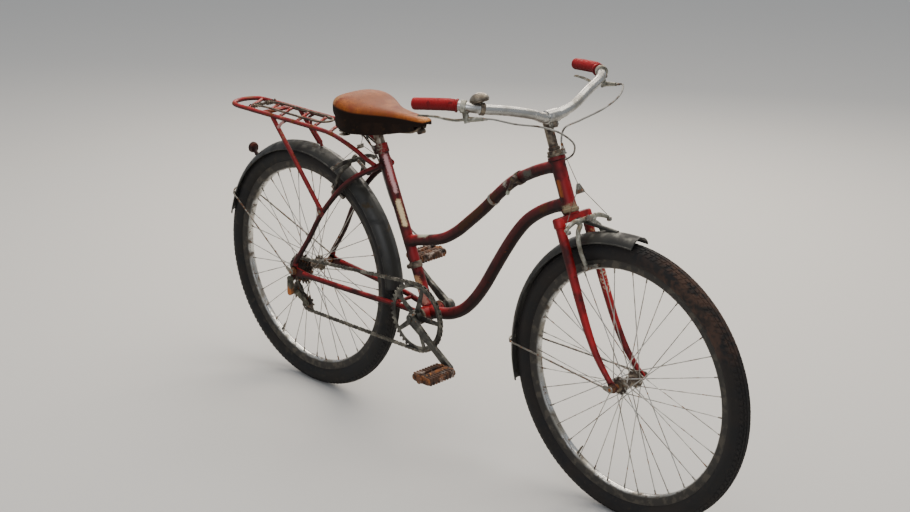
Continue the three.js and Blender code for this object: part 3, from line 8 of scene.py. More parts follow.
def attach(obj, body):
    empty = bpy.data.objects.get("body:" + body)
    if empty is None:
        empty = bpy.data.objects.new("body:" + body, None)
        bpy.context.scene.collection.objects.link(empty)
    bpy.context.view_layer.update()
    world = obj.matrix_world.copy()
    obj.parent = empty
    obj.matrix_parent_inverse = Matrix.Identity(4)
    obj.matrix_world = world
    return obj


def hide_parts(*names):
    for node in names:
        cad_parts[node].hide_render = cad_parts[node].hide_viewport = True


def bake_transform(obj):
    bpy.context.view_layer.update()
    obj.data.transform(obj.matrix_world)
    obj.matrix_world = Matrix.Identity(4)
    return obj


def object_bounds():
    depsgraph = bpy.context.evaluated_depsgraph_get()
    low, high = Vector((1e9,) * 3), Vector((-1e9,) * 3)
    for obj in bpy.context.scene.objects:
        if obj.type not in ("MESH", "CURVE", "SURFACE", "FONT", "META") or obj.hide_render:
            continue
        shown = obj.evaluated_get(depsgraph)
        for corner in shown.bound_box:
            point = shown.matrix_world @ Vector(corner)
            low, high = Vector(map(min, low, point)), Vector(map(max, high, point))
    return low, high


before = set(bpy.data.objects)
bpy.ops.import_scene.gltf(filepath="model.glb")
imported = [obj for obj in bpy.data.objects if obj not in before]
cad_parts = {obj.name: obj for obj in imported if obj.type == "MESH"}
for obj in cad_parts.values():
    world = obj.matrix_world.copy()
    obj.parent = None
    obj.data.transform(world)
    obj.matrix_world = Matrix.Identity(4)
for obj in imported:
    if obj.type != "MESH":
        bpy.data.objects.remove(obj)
cad_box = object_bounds()

# The studio: a pale matt floor under the tyres, a broad lamp overhead, a fill beside the camera and
# a long lamp behind, which draws the light edges along the tubes. All places are in the bicycle's
# own millimetres, x forward from the rear axle, y to its left and z up from the ground.
BIKE_ORIGIN = Vector((255, 0, 840))
METRE = 1000.0
UP = Vector((0, 0, 1))
SIDE = Vector((0, 1, 0))
CAMERA_PLACE = (3310.6, -2753.3, 1897.8)
CAMERA_VIEW = Vector((-0.6674, 0.6638, -0.3375))
CAMERA_LENS = 66.88
LAMPS = [
    # name, place, looks at, width and height in mm, power in watts, colour
    ("overhead_lamp", (100, 700, 3600), (450, 0, 400), (4200, 3400), 150, "#fff6ea"),
    ("camera_lamp", (2600, -2300, 2300), (600, 0, 450), (1800, 1800), 26, "#f3f6ff"),
    ("back_lamp", (-1100, 2300, 1900), (400, 0, 500), (2400, 900), 50, "#fff2e2"),
]


def place(point):
    return (Vector(point) - BIKE_ORIGIN) / METRE


def linear(colour):
    """An sRGB hex colour as linear red, green, blue and alpha."""
    parts = [int(colour[i:i + 2], 16) / 255 for i in (1, 3, 5)]
    return [p / 12.92 if p <= 0.04045 else ((p + 0.055) / 1.055) ** 2.4 for p in parts] + [1.0]


def add_node(tree, kind, settings=None, links=None):
    """Adds a shader node with its settings, and links its inputs to other nodes' outputs."""
    made = tree.nodes.new(kind)
    for key, value in (settings or {}).items():
        if isinstance(key, int) or key in made.inputs:
            made.inputs[key].default_value = value
        else:
            setattr(made, key, value)
    for key, output in (links or {}).items():
        tree.links.new(output, made.inputs[key])
    return made


# Floor paper: matt, pale grey, with a faint cloudiness so that it is no flat colour
floor_paper = bpy.data.materials.new("matt_floor_paper")
floor_paper.use_nodes = True
paper_shader = floor_paper.node_tree.nodes["Principled BSDF"]
paper_shader.inputs["Roughness"].default_value = 0.85
paper_clouds = add_node(floor_paper.node_tree, "ShaderNodeTexNoise", {"Scale": 0.7, "Detail": 3.0})
paper_tint = add_node(
    floor_paper.node_tree, "ShaderNodeMix",
    {"data_type": "RGBA", 6: linear("#c9c7c2"), 7: linear("#d6d4cf")}, {0: paper_clouds.outputs[0]})
floor_paper.node_tree.links.new(paper_tint.outputs[2], paper_shader.inputs["Base Color"])
floor_mesh = bpy.data.meshes.new("studio_floor")
floor_reach = 9.0
ground = cad_box[0][2]
floor_mesh.from_pydata(
    [(x * floor_reach, y * floor_reach, ground) for x, y in ((-1, -1), (1, -1), (1, 1), (-1, 1))],
    [], [(0, 1, 2, 3)])
floor_mesh.materials.append(floor_paper)
studio_floor = bpy.data.objects.new("studio_floor", floor_mesh)
bpy.context.collection.objects.link(studio_floor)

for name, at, target, size, power, colour in LAMPS:
    lamp = bpy.data.lights.new(name, "AREA")
    lamp.shape = "RECTANGLE"
    lamp.size, lamp.size_y = (length / METRE for length in size)
    lamp.energy = power
    lamp.color = linear(colour)[:3]
    holder = bpy.data.objects.new(name, lamp)
    holder.location = place(at)
    holder.rotation_euler = (place(target) - place(at)).to_track_quat("-Z", "Y").to_euler()
    bpy.context.collection.objects.link(holder)

sky = bpy.data.worlds.new("soft_sky")
sky.use_nodes = True
sky.node_tree.nodes["Background"].inputs["Color"].default_value = linear("#dfe4ec")
sky.node_tree.nodes["Background"].inputs["Strength"].default_value = 0.62
bpy.context.scene.world = sky

camera_data = bpy.data.cameras.new("photo_camera")
camera_data.lens = CAMERA_LENS
camera_data.sensor_width = 36
camera = bpy.data.objects.new("photo_camera", camera_data)
camera.location = place(CAMERA_PLACE)
camera.rotation_euler = CAMERA_VIEW.to_track_quat("-Z", "Y").to_euler()
bpy.context.collection.objects.link(camera)
bpy.context.scene.camera = camera

# The frame: thin steel tubes brazed together, then stove-enamelled maroon. The top and down tubes
# sweep up in shallow curves to the head tube, and flat dropouts close the stays at the rear axle.
REAR_AXLE = Vector((0, 0, 335))
FRONT_AXLE = Vector((1097, 0, 335))
BOTTOM_BRACKET = Vector((453, 0, 325))
SEAT_ANGLE = math.radians(66.6)
SEAT_UP = Vector((-math.cos(SEAT_ANGLE), 0, math.sin(SEAT_ANGLE)))
SEAT_BACK = Vector((-math.sin(SEAT_ANGLE), 0, -math.cos(SEAT_ANGLE)))
SEAT_TUBE_LENGTH = 442
HEAD_ANGLE = math.radians(68.4)
STEER_UP = Vector((-math.cos(HEAD_ANGLE), 0, math.sin(HEAD_ANGLE)))
STEER_FORWARD = Vector((math.sin(HEAD_ANGLE), 0, math.cos(HEAD_ANGLE)))
FORK_RAKE = 35.5
STEER_FOOT = FRONT_AXLE - FORK_RAKE * STEER_FORWARD
HEAD_TUBE_FOOT = 405.5
REAR_DROPOUT_SIDE, FRONT_DROPOUT_SIDE = 66, 50
HANGER_EYE = Vector((-10, 0, 311))
BRAZED_FILLET = 3.0
FRAME_TUBES = [
    # node, radius, half width that its ends sink into, points
    ("top_tube", 14, (14, 19), [
        (378, 0, 496.5), (389, 0, 500), (412, 0, 507), (495, 0, 531), (545, 0, 560), (594, 0, 601),
        (642, 0, 644), (688, 0, 690), (734, 0, 731), (779, 0, 758), (823, 0, 780), (876, 0, 801)]),
    ("down_tube", 15, (20, 19), [
        (453, 0, 328), (490, 0, 333), (530, 0, 343), (572, 0, 366), (607, 0, 399), (643, 0, 446),
        (679, 0, 504), (713, 0, 558), (747, 0, 607), (783, 0, 648), (826, 0, 680), (868, 0, 702),
        (907, 0, 716.5)]),
]
STAY_TUBES = [
    # node, radius, half width that its ends sink into, points on the left
    ("chain_stay", 7.5, (20, 4), [
        (453, 25, 326), (420, 26, 327), (375, 30.5, 329), (330, 39, 331), (285, 45, 332),
        (170, 56, 333), (56, 66, 335), (40, 66, 335)]),
    ("seat_stay", 7, (4, 14), [
        (5, 66, 352), (5, 66, 358), (30, 65, 395), (62, 63, 441), (105, 57, 514), (158, 49, 580),
        (206, 43, 626), (256, 31, 659), (302, 14, 684)]),
]


def seated(along, back=0.0, side=0.0):
    """A point in the seat tube's own directions, from the bottom bracket."""
    return BOTTOM_BRACKET + SEAT_UP * along + SEAT_BACK * back + SIDE * side


def steered(up, forward, side=0.0):
    """A point in the steering's own directions, level with the front axle at up 0."""
    return STEER_FOOT + STEER_UP * up + STEER_FORWARD * forward + SIDE * side


def smooth_path(points, spacing=7.0):
    """A smooth curve through the points, with a step about every spacing mm."""
    points = [Vector(p) for p in points]
    row = [points[0] * 2 - points[1]] + points + [points[-1] * 2 - points[-2]]
    path = []
    for a, b, c, d in zip(row, row[1:], row[2:], row[3:]):
        at_b = (b - a).length ** 0.5
        at_c = at_b + (c - b).length ** 0.5
        at_d = at_c + (d - c).length ** 0.5
        count = max(1, round((c - b).length / spacing))
        for i in range(count):
            t = at_b + (at_c - at_b) * i / count
            ab, bc = a.lerp(b, t / at_b), b.lerp(c, (t - at_b) / (at_c - at_b))
            cd = c.lerp(d, (t - at_c) / (at_d - at_c))
            abc, bcd = ab.lerp(bc, t / at_c), bc.lerp(cd, (t - at_b) / (at_d - at_b))
            path.append(abc.lerp(bcd, (t - at_b) / (at_c - at_b)))
    return path + [points[-1]]


def loft(rings, around=False):
    """Skins a row of rings of equal count: closed at both ends, or joined up all around."""
    size, rows = len(rings[0]), len(rings)
    faces = []
    for i in range(rows if around else rows - 1):
        for j in range(size):
            k = (j + 1) % size
            below, above = i * size, (i + 1) % rows * size
            faces.append((below + j, below + k, above + k, above + j))
    if not around:
        faces += [tuple(range(size)), tuple(range((rows - 1) * size, rows * size))]
    return [p for ring in rings for p in ring], faces


def path_frames(path):
    """Each point of a path with two directions across it that don't twist along the way."""
    across = None
    for i, point in enumerate(path):
        along = (path[min(i + 1, len(path) - 1)] - path[max(i - 1, 0)]).normalized()
        if across is None:
            across = along.cross(SIDE if abs(along.y) < 0.9 else UP)
        across = (across - along * across.dot(along)).normalized()
        yield point, across, along.cross(across)


def tube(path, radius, sides=18):
    """A round bar along a path; the radius is one number, or one for each point."""
    path = [Vector(p) for p in path]
    radii = radius if isinstance(radius, (list, tuple)) else [radius] * len(path)
    turns = [2 * math.pi * j / sides for j in range(sides)]
    return loft([[point + (a * math.cos(t) + b * math.sin(t)) * r for t in turns]
                 for (point, a, b), r in zip(path_frames(path), radii)])


def turned(profile, foot, axis, steps=32):
    """A solid of revolution; the profile's rows are (distance along the axis, radius)."""
    axis = Vector(axis).normalized()
    across = axis.cross(SIDE if abs(axis.y) < 0.9 else UP).normalized()
    other = axis.cross(across)
    turns = [2 * math.pi * j / steps for j in range(steps)]
    return loft([[Vector(foot) + axis * along + (across * math.cos(t) + other * math.sin(t)) * radius
                  for t in turns] for along, radius in profile])


def hull(*circles):
    """The outline of a taut string round circles given as (x, z, radius)."""
    dots = sorted({(round(x + r * math.cos(t), 3), round(z + r * math.sin(t), 3))
                   for x, z, r in circles for t in (math.radians(15 * i) for i in range(24))})
    outline = []
    for sweep in (dots, dots[::-1]):
        start = len(outline)
        for dot in sweep:
            while len(outline) > start + 1:
                (ax, az), (bx, bz) = outline[-2:]
                if (bx - ax) * (dot[1] - az) - (bz - az) * (dot[0] - ax) > 0:
                    break
                outline.pop()
            outline.append(dot)
        outline.pop()
    return outline


def plate(outline, y, thickness):
    """A flat plate with its outline in (x, z) and its middle at y."""
    return loft([[Vector((x, y + half * thickness, z)) for x, z in outline] for half in (-0.5, 0.5)])


def block(centre, size, along=(1, 0, 0), up=(0, 0, 1)):
    """A squared bar or block: its size runs along, across and up."""
    along, up = Vector(along).normalized(), Vector(up).normalized()
    across = up.cross(along)
    a, b, c = (d * s / 2 for d, s in zip((along, across, up), size))
    centre = Vector(centre)
    return loft([[centre + c * k - a - b, centre + c * k + a - b, centre + c * k + a + b,
                  centre + c * k - a + b] for k in (-1, 1)])


def piece(name, body, material, shapes, replaces=(), bevel=0.0, sharp=38):
    """Makes one piece of the bicycle from its shapes, and lets it ride on its body."""
    points, faces = [], []
    for shape_points, shape_faces in shapes:
        start = len(points)
        points += [place(p) for p in shape_points]
        faces += [[start + i for i in face] for face in shape_faces]
    mesh = bpy.data.meshes.new(name)
    mesh.from_pydata(points, [], faces)
    skin = bmesh.new()
    skin.from_mesh(mesh)
    bmesh.ops.recalc_face_normals(skin, faces=skin.faces)
    skin.to_mesh(mesh)
    skin.free()
    mesh.shade_smooth()
    mesh.set_sharp_from_angle(angle=math.radians(sharp))
    mesh.materials.append(material)
    made = bpy.data.objects.new(name, mesh)
    bpy.context.collection.objects.link(made)
    if bevel:
        rounding = made.modifiers.new("rounded_edges", "BEVEL")
        rounding.width = bevel / METRE
        rounding.segments = 2
        rounding.angle_limit = math.radians(40)
    if body:
        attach(made, body)
    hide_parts(*replaces)
    return made


def blotches(tree, size, low, high, shift=0.0, detail=5.0):
    """A mask of blotches about size mm apart: 0 where the noise is under low, 1 over high."""
    where = add_node(tree, "ShaderNodeTexCoord")
    moved = add_node(tree, "ShaderNodeMapping", {"Location": (shift, shift, shift)},
                     {"Vector": where.outputs["Object"]})
    clouds = add_node(tree, "ShaderNodeTexNoise", {"Scale": METRE / size, "Detail": detail},
                      {"Vector": moved.outputs[0]})
    return add_node(tree, "ShaderNodeMapRange", {"From Min": low, "From Max": high},
                    {"Value": clouds.outputs[0]}).outputs[0]


def facing(tree, direction, low, high):
    """A mask of the surfaces that look towards a direction of the bicycle."""
    where = add_node(tree, "ShaderNodeTexCoord")
    share = add_node(tree, "ShaderNodeVectorMath", {"operation": "DOT_PRODUCT", 1: direction},
                     {0: where.outputs["Normal"]})
    return add_node(tree, "ShaderNodeMapRange", {"From Min": low, "From Max": high},
                    {"Value": share.outputs["Value"]}).outputs[0]


def worn_place(tree, point, radius, ragged=0.9, far=None):
    """A mask of one worn place round a point, or from there to a far point, with a ragged rim."""
    where = add_node(tree, "ShaderNodeTexCoord")
    clouds = add_node(tree, "ShaderNodeTexNoise", {"Scale": 2.2 * METRE / radius, "Detail": 4.0},
                      {"Vector": where.outputs["Object"]})
    along = place(far or point) - place(point)
    apart = add_node(tree, "ShaderNodeVectorMath", {"operation": "SUBTRACT", 1: place(point)},
                     {0: where.outputs["Object"]})
    share = add_node(tree, "ShaderNodeVectorMath",
                     {"operation": "DOT_PRODUCT", 1: along / max(along.length_squared, 1e-9)},
                     {0: apart.outputs[0]})
    on_line = add_node(tree, "ShaderNodeClamp", None, {"Value": share.outputs["Value"]})
    nearest = add_node(tree, "ShaderNodeVectorMath", {"operation": "SCALE", 0: along},
                       {"Scale": on_line.outputs[0]})
    away = add_node(tree, "ShaderNodeVectorMath", {"operation": "DISTANCE"},
                    {0: apart.outputs[0], 1: nearest.outputs[0]})
    edge = add_node(tree, "ShaderNodeMath",
                    {"operation": "MULTIPLY_ADD", 1: ragged * 2 * radius / METRE},
                    {0: clouds.outputs[0], 2: away.outputs["Value"]})
    reach = (1 + ragged) * radius / METRE
    return add_node(tree, "ShaderNodeMapRange", {"From Min": reach * 1.15, "From Max": reach * 0.8},
                    {"Value": edge.outputs[0]}).outputs[0]


def height_band(tree, low, high, soft=6.0):
    """A mask of what lies between two heights above the ground, in mm."""
    where = add_node(tree, "ShaderNodeTexCoord")
    parts = add_node(tree, "ShaderNodeSeparateXYZ", None, {"Vector": where.outputs["Object"]})
    floor_z = (low - BIKE_ORIGIN.z) / METRE
    roof_z = (high - BIKE_ORIGIN.z) / METRE
    rise = add_node(tree, "ShaderNodeMapRange",
                    {"From Min": floor_z, "From Max": floor_z + soft / METRE}, {"Value": parts.outputs[2]})
    fall = add_node(tree, "ShaderNodeMapRange",
                    {"From Min": roof_z + soft / METRE, "From Max": roof_z}, {"Value": parts.outputs[2]})
    return add_node(tree, "ShaderNodeMath", {"operation": "MULTIPLY"},
                    {0: rise.outputs[0], 1: fall.outputs[0]}).outputs[0]


def surface(name, ground_coat, coats, **sockets):
    """A material laid from its ground up. The ground is (colour, roughness, metallic); each coat is
    (colour, roughness, metallic, height in mm, masks) and shows where all its masks do."""
    material = bpy.data.materials.new(name)
    material.use_nodes = True
    tree = material.node_tree
    shader = tree.nodes["Principled BSDF"]
    for socket, value in sockets.items():
        shader.inputs[socket.replace("_", " ")].default_value = value
    colour, roughness, metallic = ground_coat
    inputs = {"Base Color": linear(colour), "Roughness": roughness, "Metallic": metallic}
    for socket, value in inputs.items():
        shader.inputs[socket].default_value = value
    height = 0.0
    outputs = {}
    for colour, roughness, metallic, rise, masks in coats:
        mask = masks[0][0](tree, *masks[0][1:])
        for make, *how in masks[1:]:
            mask = add_node(tree, "ShaderNodeMath", {"operation": "MULTIPLY"},
                            {0: mask, 1: make(tree, *how)}).outputs[0]
        over = {"Base Color": linear(colour), "Roughness": roughness, "Metallic": metallic}
        for socket, value in over.items():
            if value == inputs[socket] and socket not in outputs:
                continue
            first = 6 if socket == "Base Color" else 2
            mix = add_node(tree, "ShaderNodeMix",
                           {"data_type": "RGBA" if first == 6 else "FLOAT",
                            first: inputs[socket], first + 1: value}, {0: mask})
            if socket in outputs:
                tree.links.new(outputs[socket], mix.inputs[first])
            outputs[socket] = mix.outputs[2 if first == 6 else 0]
        if rise:
            step = add_node(tree, "ShaderNodeMath", {"operation": "MULTIPLY_ADD", 1: rise / METRE},
                            {0: mask})
            if height:
                tree.links.new(height, step.inputs[2])
            else:
                step.inputs[2].default_value = 0.0
            height = step.outputs[0]
    for socket, output in outputs.items():
        tree.links.new(output, shader.inputs[socket])
    if height:
        relief = add_node(tree, "ShaderNodeBump", {"Distance": 1.0, "Strength": 1.0}, {"Height": height})
        tree.links.new(relief.outputs[0], shader.inputs["Normal"])
    return material


# Stove enamel on steel tube: a hard glossy paint, sprayed and baked. Its upper and forward faces
# are painted crimson as painted highlight and its undersides nearly black as painted shade, with
# rust freckles 2 to 8 mm apart, which are drawn a little coarser than they are, and with bare pink,
# cream, grey and olive places where it was rubbed.
WORN_FRAME_PLACES = [
    # colour, roughness, height, point, radius, far point
    ("#d6a3a2", 0.6, -0.1, (304, -8, 704), 6.5, (341, -8, 622)),
    ("#e6cfa0", 0.7, -0.1, (350, -9, 596), 7, (374, -9, 542)),
    ("#8a8874", 0.7, -0.1, (288, -6, 716), 9, (280, -6, 732)),
    ("#a9ab96", 0.7, -0.1, (424, -4, 522), 7, (446, -4, 529)),
    ("#b98a62", 0.9, 0.1, (418, -12, 408), 9, (430, -12, 384)),
    ("#c08878", 0.85, 0.0, (434, -12, 374), 9, (446, -12, 356)),
    ("#8f8d80", 0.6, -0.1, (718, -9, 725), 8, (730, 6, 736)),
    ("#46453d", 0.6, -0.1, (784, -9, 762), 9, (796, -9, 768)),
    ("#3d2412", 0.85, 0.05, (575, -10, 584), 9, (640, -10, 646)),
    ("#3d2412", 0.85, 0.05, (664, -10, 668), 6, (690, -10, 694)),
    ("#8a4a22", 0.9, 0.1, (889, -15, 768), 5, (900, -15, 738)),
    ("#8c7f62", 0.85, 0.0, (927, 0, 712), 11, (917, -16, 708)),
    ("#4b3018", 0.9, 0.1, (838, -8, 690), 9, (852, -8, 698)),
]
frame_enamel = surface("stove_enamel_maroon", ("#520c0d", 0.42, 0.0), [
    # painted highlight: brighter crimson on the faces that look up
    ("#a0181c", 0.45, 0.0, 0.0, [(facing, UP, 0.35, 0.85), (blotches, 45, 0.3, 0.5)]),
    # painted highlight: red on the faces that look forward
    ("#8c1318", 0.45, 0.0, 0.0, [(facing, Vector((1, -0.3, 0)), 0.35, 0.9)]),
    ("#300a09", 0.55, 0.0, 0.0, [(blotches, 60, 0.5, 0.64, 3.1)]),
    # painted shade: nearly black on the faces that look down
    ("#1a0605", 0.7, 0.0, 0.0, [(facing, -UP, -0.35, 0.35)]),
    ("#4a2a18", 0.95, 0.0, 0.04, [(facing, UP, 0.5, 1.0), (blotches, 70, 0.57, 0.68, 5.3)]),
    ("#38150c", 0.9, 0.0, 0.12, [(blotches, 9, 0.62, 0.67, 7.7)]),
    ("#6a361a", 0.95, 0.0, 0.18, [(blotches, 14, 0.68, 0.72, 9.1), (blotches, 90, 0.46, 0.6)]),
] + [(colour, rough, 0.0, rise, [(worn_place, point, radius, 1.1, far)])
     for colour, rough, rise, point, radius, far in WORN_FRAME_PLACES], Specular_IOR_Level=0.3)


def filleted(points, radius, sinks, fillet=BRAZED_FILLET):
    """A frame tube that swells into a brazed fillet where it meets the tubes at its ends."""
    path = smooth_path(points)
    runs = [0.0]
    for a, b in zip(path, path[1:]):
        runs.append(runs[-1] + (b - a).length)
    radii = [radius + fillet * math.exp(-max(0.0, run - sinks[0]) / 5)
             + fillet * math.exp(-max(0.0, runs[-1] - run - sinks[1]) / 5) for run in runs]
    return tube(path, radii, 24)


for node_name, radius, sinks, points in FRAME_TUBES:
    piece(f"{node_name}_enamelled", "frame", frame_enamel,
          [filleted(points, radius, sinks)], [node_name])

seat_tube_shapes = [
    tube([seated(0), seated(SEAT_TUBE_LENGTH - 1)], 14.3, 28),
    turned([(-34, 18.5), (-34, 20), (34, 20), (34, 18.5)], BOTTOM_BRACKET, SIDE),
    tube([seated(21), seated(25)], [16.5, 14.5], 28),
    turned([(0, 15), (0.5, 16.8), (23.5, 16.8), (24, 13)], seated(418), SEAT_UP, 36),
]
for side in (-1, 1):
    seat_tube_shapes.append(block(seated(430, 17, side * 5.2), (22, 5.5, 11), SEAT_UP, SEAT_BACK))
piece("seat_tube_enamelled", "frame", frame_enamel, seat_tube_shapes, ["seat_tube"], 0.5)
piece("head_tube_enamelled", "frame", frame_enamel, [
    turned([(0, 17), (0, 19.6), (1.5, 20.5), (8, 20.5), (10, 18), (16, 17.2), (60, 17),
            (114, 17.2), (120, 18), (122, 20.5), (128.5, 20.5), (130, 19.6), (130, 17)],
           steered(HEAD_TUBE_FOOT, 0), STEER_UP, 40)], ["head_tube"], 0.3)

for side, hand in ((-1, "right"), (1, "left")):
    for node_name, radius, sinks, points in STAY_TUBES:
        shapes = [filleted([(x, y * side, z) for x, y, z in points], radius, sinks, 1.2)]
        if node_name == "chain_stay":
            shapes.append(plate(hull((0, 335, 13), (64, 335, 7.5)), side * REAR_DROPOUT_SIDE, 4))
            shapes.append(plate(hull((0, 335, 11), (6, 356, 7.5)), side * REAR_DROPOUT_SIDE, 4))
            if side < 0:
                shapes.append(plate(hull((0, 335, 9), (HANGER_EYE.x, HANGER_EYE.z, 8)),
                                    side * REAR_DROPOUT_SIDE, 4))
        piece(f"{node_name}_{hand}_enamelled", "frame", frame_enamel, shapes,
              [f"{node_name}_{hand}"], 0.6)

REAR_BRAKE_ANGLE = math.radians(60.5)
REAR_BRAKE_OUT = Vector((math.cos(REAR_BRAKE_ANGLE), 0, math.sin(REAR_BRAKE_ANGLE)))
REAR_BRAKE_BACK = Vector((-math.sin(REAR_BRAKE_ANGLE), 0, math.cos(REAR_BRAKE_ANGLE)))


def rear_brake_place(radius, back, side=0.0):
    """A point in the rear brake's own directions, out from the rear axle."""
    return REAR_AXLE + REAR_BRAKE_OUT * radius + REAR_BRAKE_BACK * back + SIDE * side


seat_bridge = rear_brake_place(383, -46)
piece("chain_stay_bridge_enamelled", "frame", frame_enamel,
      [tube([(352, -34, 330), (352, 34, 330)], 5, 14)], ["chain_stay_bridge"])
piece("seat_stay_bridge_enamelled", "frame", frame_enamel, [
    tube([seat_bridge - SIDE * 38, seat_bridge + SIDE * 38], 5, 14),
    turned([(-6, 6), (-6, 8), (6, 8), (6, 6)], seat_bridge, REAR_BRAKE_BACK, 20)],
    ["seat_stay_bridge"], 0.3)

# The fork: a forged crown brazed to the steerer and to two tapered blades, which bend forward to
# flat dropouts. It has the frame's enamel, brighter than on the frame, with a painted highlight on
# the blades' front faces and painted shade on their backs, with tan and cream places rubbed into
# the left blade.
BLADE_STATIONS = [(385, 0, 46), (300, 0, 46), (210, 0, 47), (130, 3, 48), (70, 12, 49), (12, 31, 50)]
fork_enamel = surface("stove_enamel_fork_red", ("#720f12", 0.38, 0.0), [
    # painted highlight: brighter red on the faces that look forward and up
    ("#a5191d", 0.4, 0.0, 0.0, [(facing, Vector((1, -0.2, 0.4)), 0.3, 0.9), (blotches, 50, 0.3, 0.5)]),
    ("#3a0a0a", 0.5, 0.0, 0.0, [(blotches, 55, 0.48, 0.66, 4.0)]),
    # painted shade: nearly black on the faces that look back
    ("#1f0707", 0.8, 0.0, 0.0, [(facing, -STEER_FORWARD, 0.1, 0.9)]),
    ("#b98a5c", 0.95, 0.0, 0.1, [(worn_place, steered(345, 8, 46), 12, 0.4, steered(290, 8, 46)),
                                (blotches, 7, 0.48, 0.56, 6.0)]),
    ("#cfc0a0", 0.9, 0.0, 0.06, [(worn_place, steered(300, 8, 46), 12, 0.4, steered(215, 8, 47)),
                                (blotches, 6, 0.5, 0.58, 2.0)]),
    ("#4b2413", 0.9, 0.0, 0.12, [(blotches, 9, 0.66, 0.71, 7.7)]),
], Specular_IOR_Level=0.3)
fork_shapes = [
    block(steered(393, 0), (27, 90, 16), STEER_FORWARD, STEER_UP),
    turned([(0, 17), (0, 19), (3.5, 19), (4, 15)], steered(401, 0), STEER_UP, 40),
]
for side in (-1, 1):
    blade = smooth_path([steered(up, fwd, side * out) for up, fwd, out in BLADE_STATIONS])
    radii = [11.5 - 5 * (i / (len(blade) - 1)) ** 1.6 for i in range(len(blade))]
    tip, eye = steered(26, 26, side * FRONT_DROPOUT_SIDE), FRONT_AXLE
    fork_shapes += [
        tube(blade, radii, 22),
        turned([(0, 12), (2, 14), (20, 14), (24, 11)], steered(377, 0, side * 46), STEER_UP, 28),
        plate(hull((eye.x, eye.z, 11), (tip.x, tip.z, 6.5)), side * FRONT_DROPOUT_SIDE, 4),
    ]
piece("fork_enamelled", "steering", fork_enamel, fork_shapes, ["fork"], 1.2)

# The steering's fittings are turned and pressed steel, once plated: a knurled race, a lock nut with
# the front cable's stop under it, and a quill stem whose clamp holds the bar by one bolt.
# Zinc plate on steel, gone dull: grey with a soft shine, whitish spots and a few specks of rust
zinc_steel = surface("zinc_plated_steel_dull", ("#86837b", 0.42, 0.85), [
    ("#5f5a50", 0.6, 0.5, 0.0, [(blotches, 30, 0.45, 0.6, 1.0)]),
    ("#a9a69c", 0.5, 0.7, 0.0, [(blotches, 9, 0.58, 0.66, 2.5)]),
    ("#5b3a22", 0.9, 0.0, 0.08, [(blotches, 12, 0.55, 0.62, 4.5)]),
    ("#94592b", 0.95, 0.0, 0.12, [(blotches, 6, 0.62, 0.67, 6.5)]),
])
# Plated steel gone brown: the plate shows as beige patches between dark, matt stains
brown_steel = surface("plated_steel_gone_brown", ("#5d5245", 0.5, 0.55), [
    ("#8a7d6a", 0.45, 0.7, 0.0, [(blotches, 16, 0.48, 0.62, 3.0)]),
    ("#332820", 0.85, 0.0, 0.05, [(blotches, 22, 0.5, 0.62, 8.0)]),
    ("#6a4128", 0.95, 0.0, 0.1, [(blotches, 7, 0.62, 0.68, 5.0)]),
])
piece("lock_nut_turned", "steering", brown_steel, [
    turned([(0, 15), (0, 19.5), (5, 19.5), (6, 18.4)], steered(536.2, 0), STEER_UP, 48),
    turned([(6, 16), (6.2, 19), (12.5, 19), (13.8, 17.4)], steered(536.2, 0), STEER_UP, 6),
], ["lock_nut"], 0.4)
stop_knurls = [block(steered(539, 19.4 * math.cos(t), 19.4 * math.sin(t)), (1.2, 1.2, 4.6),
                     STEER_FORWARD * math.cos(t) + SIDE * math.sin(t), STEER_UP)
               for t in (2 * math.pi * i / 30 for i in range(30))]
piece("lock_nut_knurls", "steering", brown_steel, stop_knurls)
piece("front_cable_stop", "steering", zinc_steel, [
    block(steered(537.8, 23), (15, 11, 3.2), STEER_FORWARD, STEER_UP),
    turned([(0, 3), (0, 4.2), (12, 4.5), (13.8, 4.5), (14, 3)], steered(536, 27), STEER_UP, 20)],
    bevel=0.5)
piece("stem_forged", "steering", brown_steel, [
    turned([(0, 12), (0.5, 14), (7, 14), (8, 11.2), (66, 11), (71, 9), (73, 5)],
           steered(550.4, 0), STEER_UP, 32),
    turned([(0, 6.4), (4, 6.4)], steered(619.6, 0), STEER_UP, 6),
    tube([steered(612, 0), steered(617, 8), steered(623, 16)], [11, 11.5, 12.5], 24),
    block(steered(608, 18), (13, 12, 18), STEER_FORWARD, STEER_UP),
], ["stem"], 0.6)
piece("stem_bolt", "steering", zinc_steel, [
    turned([(-9.5, 4), (-9.5, 7.4), (-6, 7.4), (-6, 3.5)], steered(607, 18), SIDE, 6),
    turned([(6, 3.5), (6, 7), (10.5, 7), (10.5, 3)], steered(607, 18), SIDE, 6)], bevel=0.4)

# The handlebar: chromed steel tube with a thicker sleeve in the clamp, raised at each side and swept
# back to the grips. Chrome plate over nickel gives a bright band along the top, with fine pits, and
# the underside is darker and browner in patches.
BAR_STATIONS = [
    # side, forward and up from the clamp's centre
    (22, 1, 0), (46, 9, 5), (72, 15, 14), (132, 6, 35), (196, -8, 54), (222, -22, 66),
    (243, -50, 81), (256, -90, 93), (269, -134, 105),
]
BAR_RADIUS = 11.1
CLAMP_UP, CLAMP_FORWARD = 626, 18


def bar_place(side, forward, up):
    """A point beside the bar, given from the clamp's centre; side is minus on the right."""
    return steered(CLAMP_UP + up, CLAMP_FORWARD + forward, side)


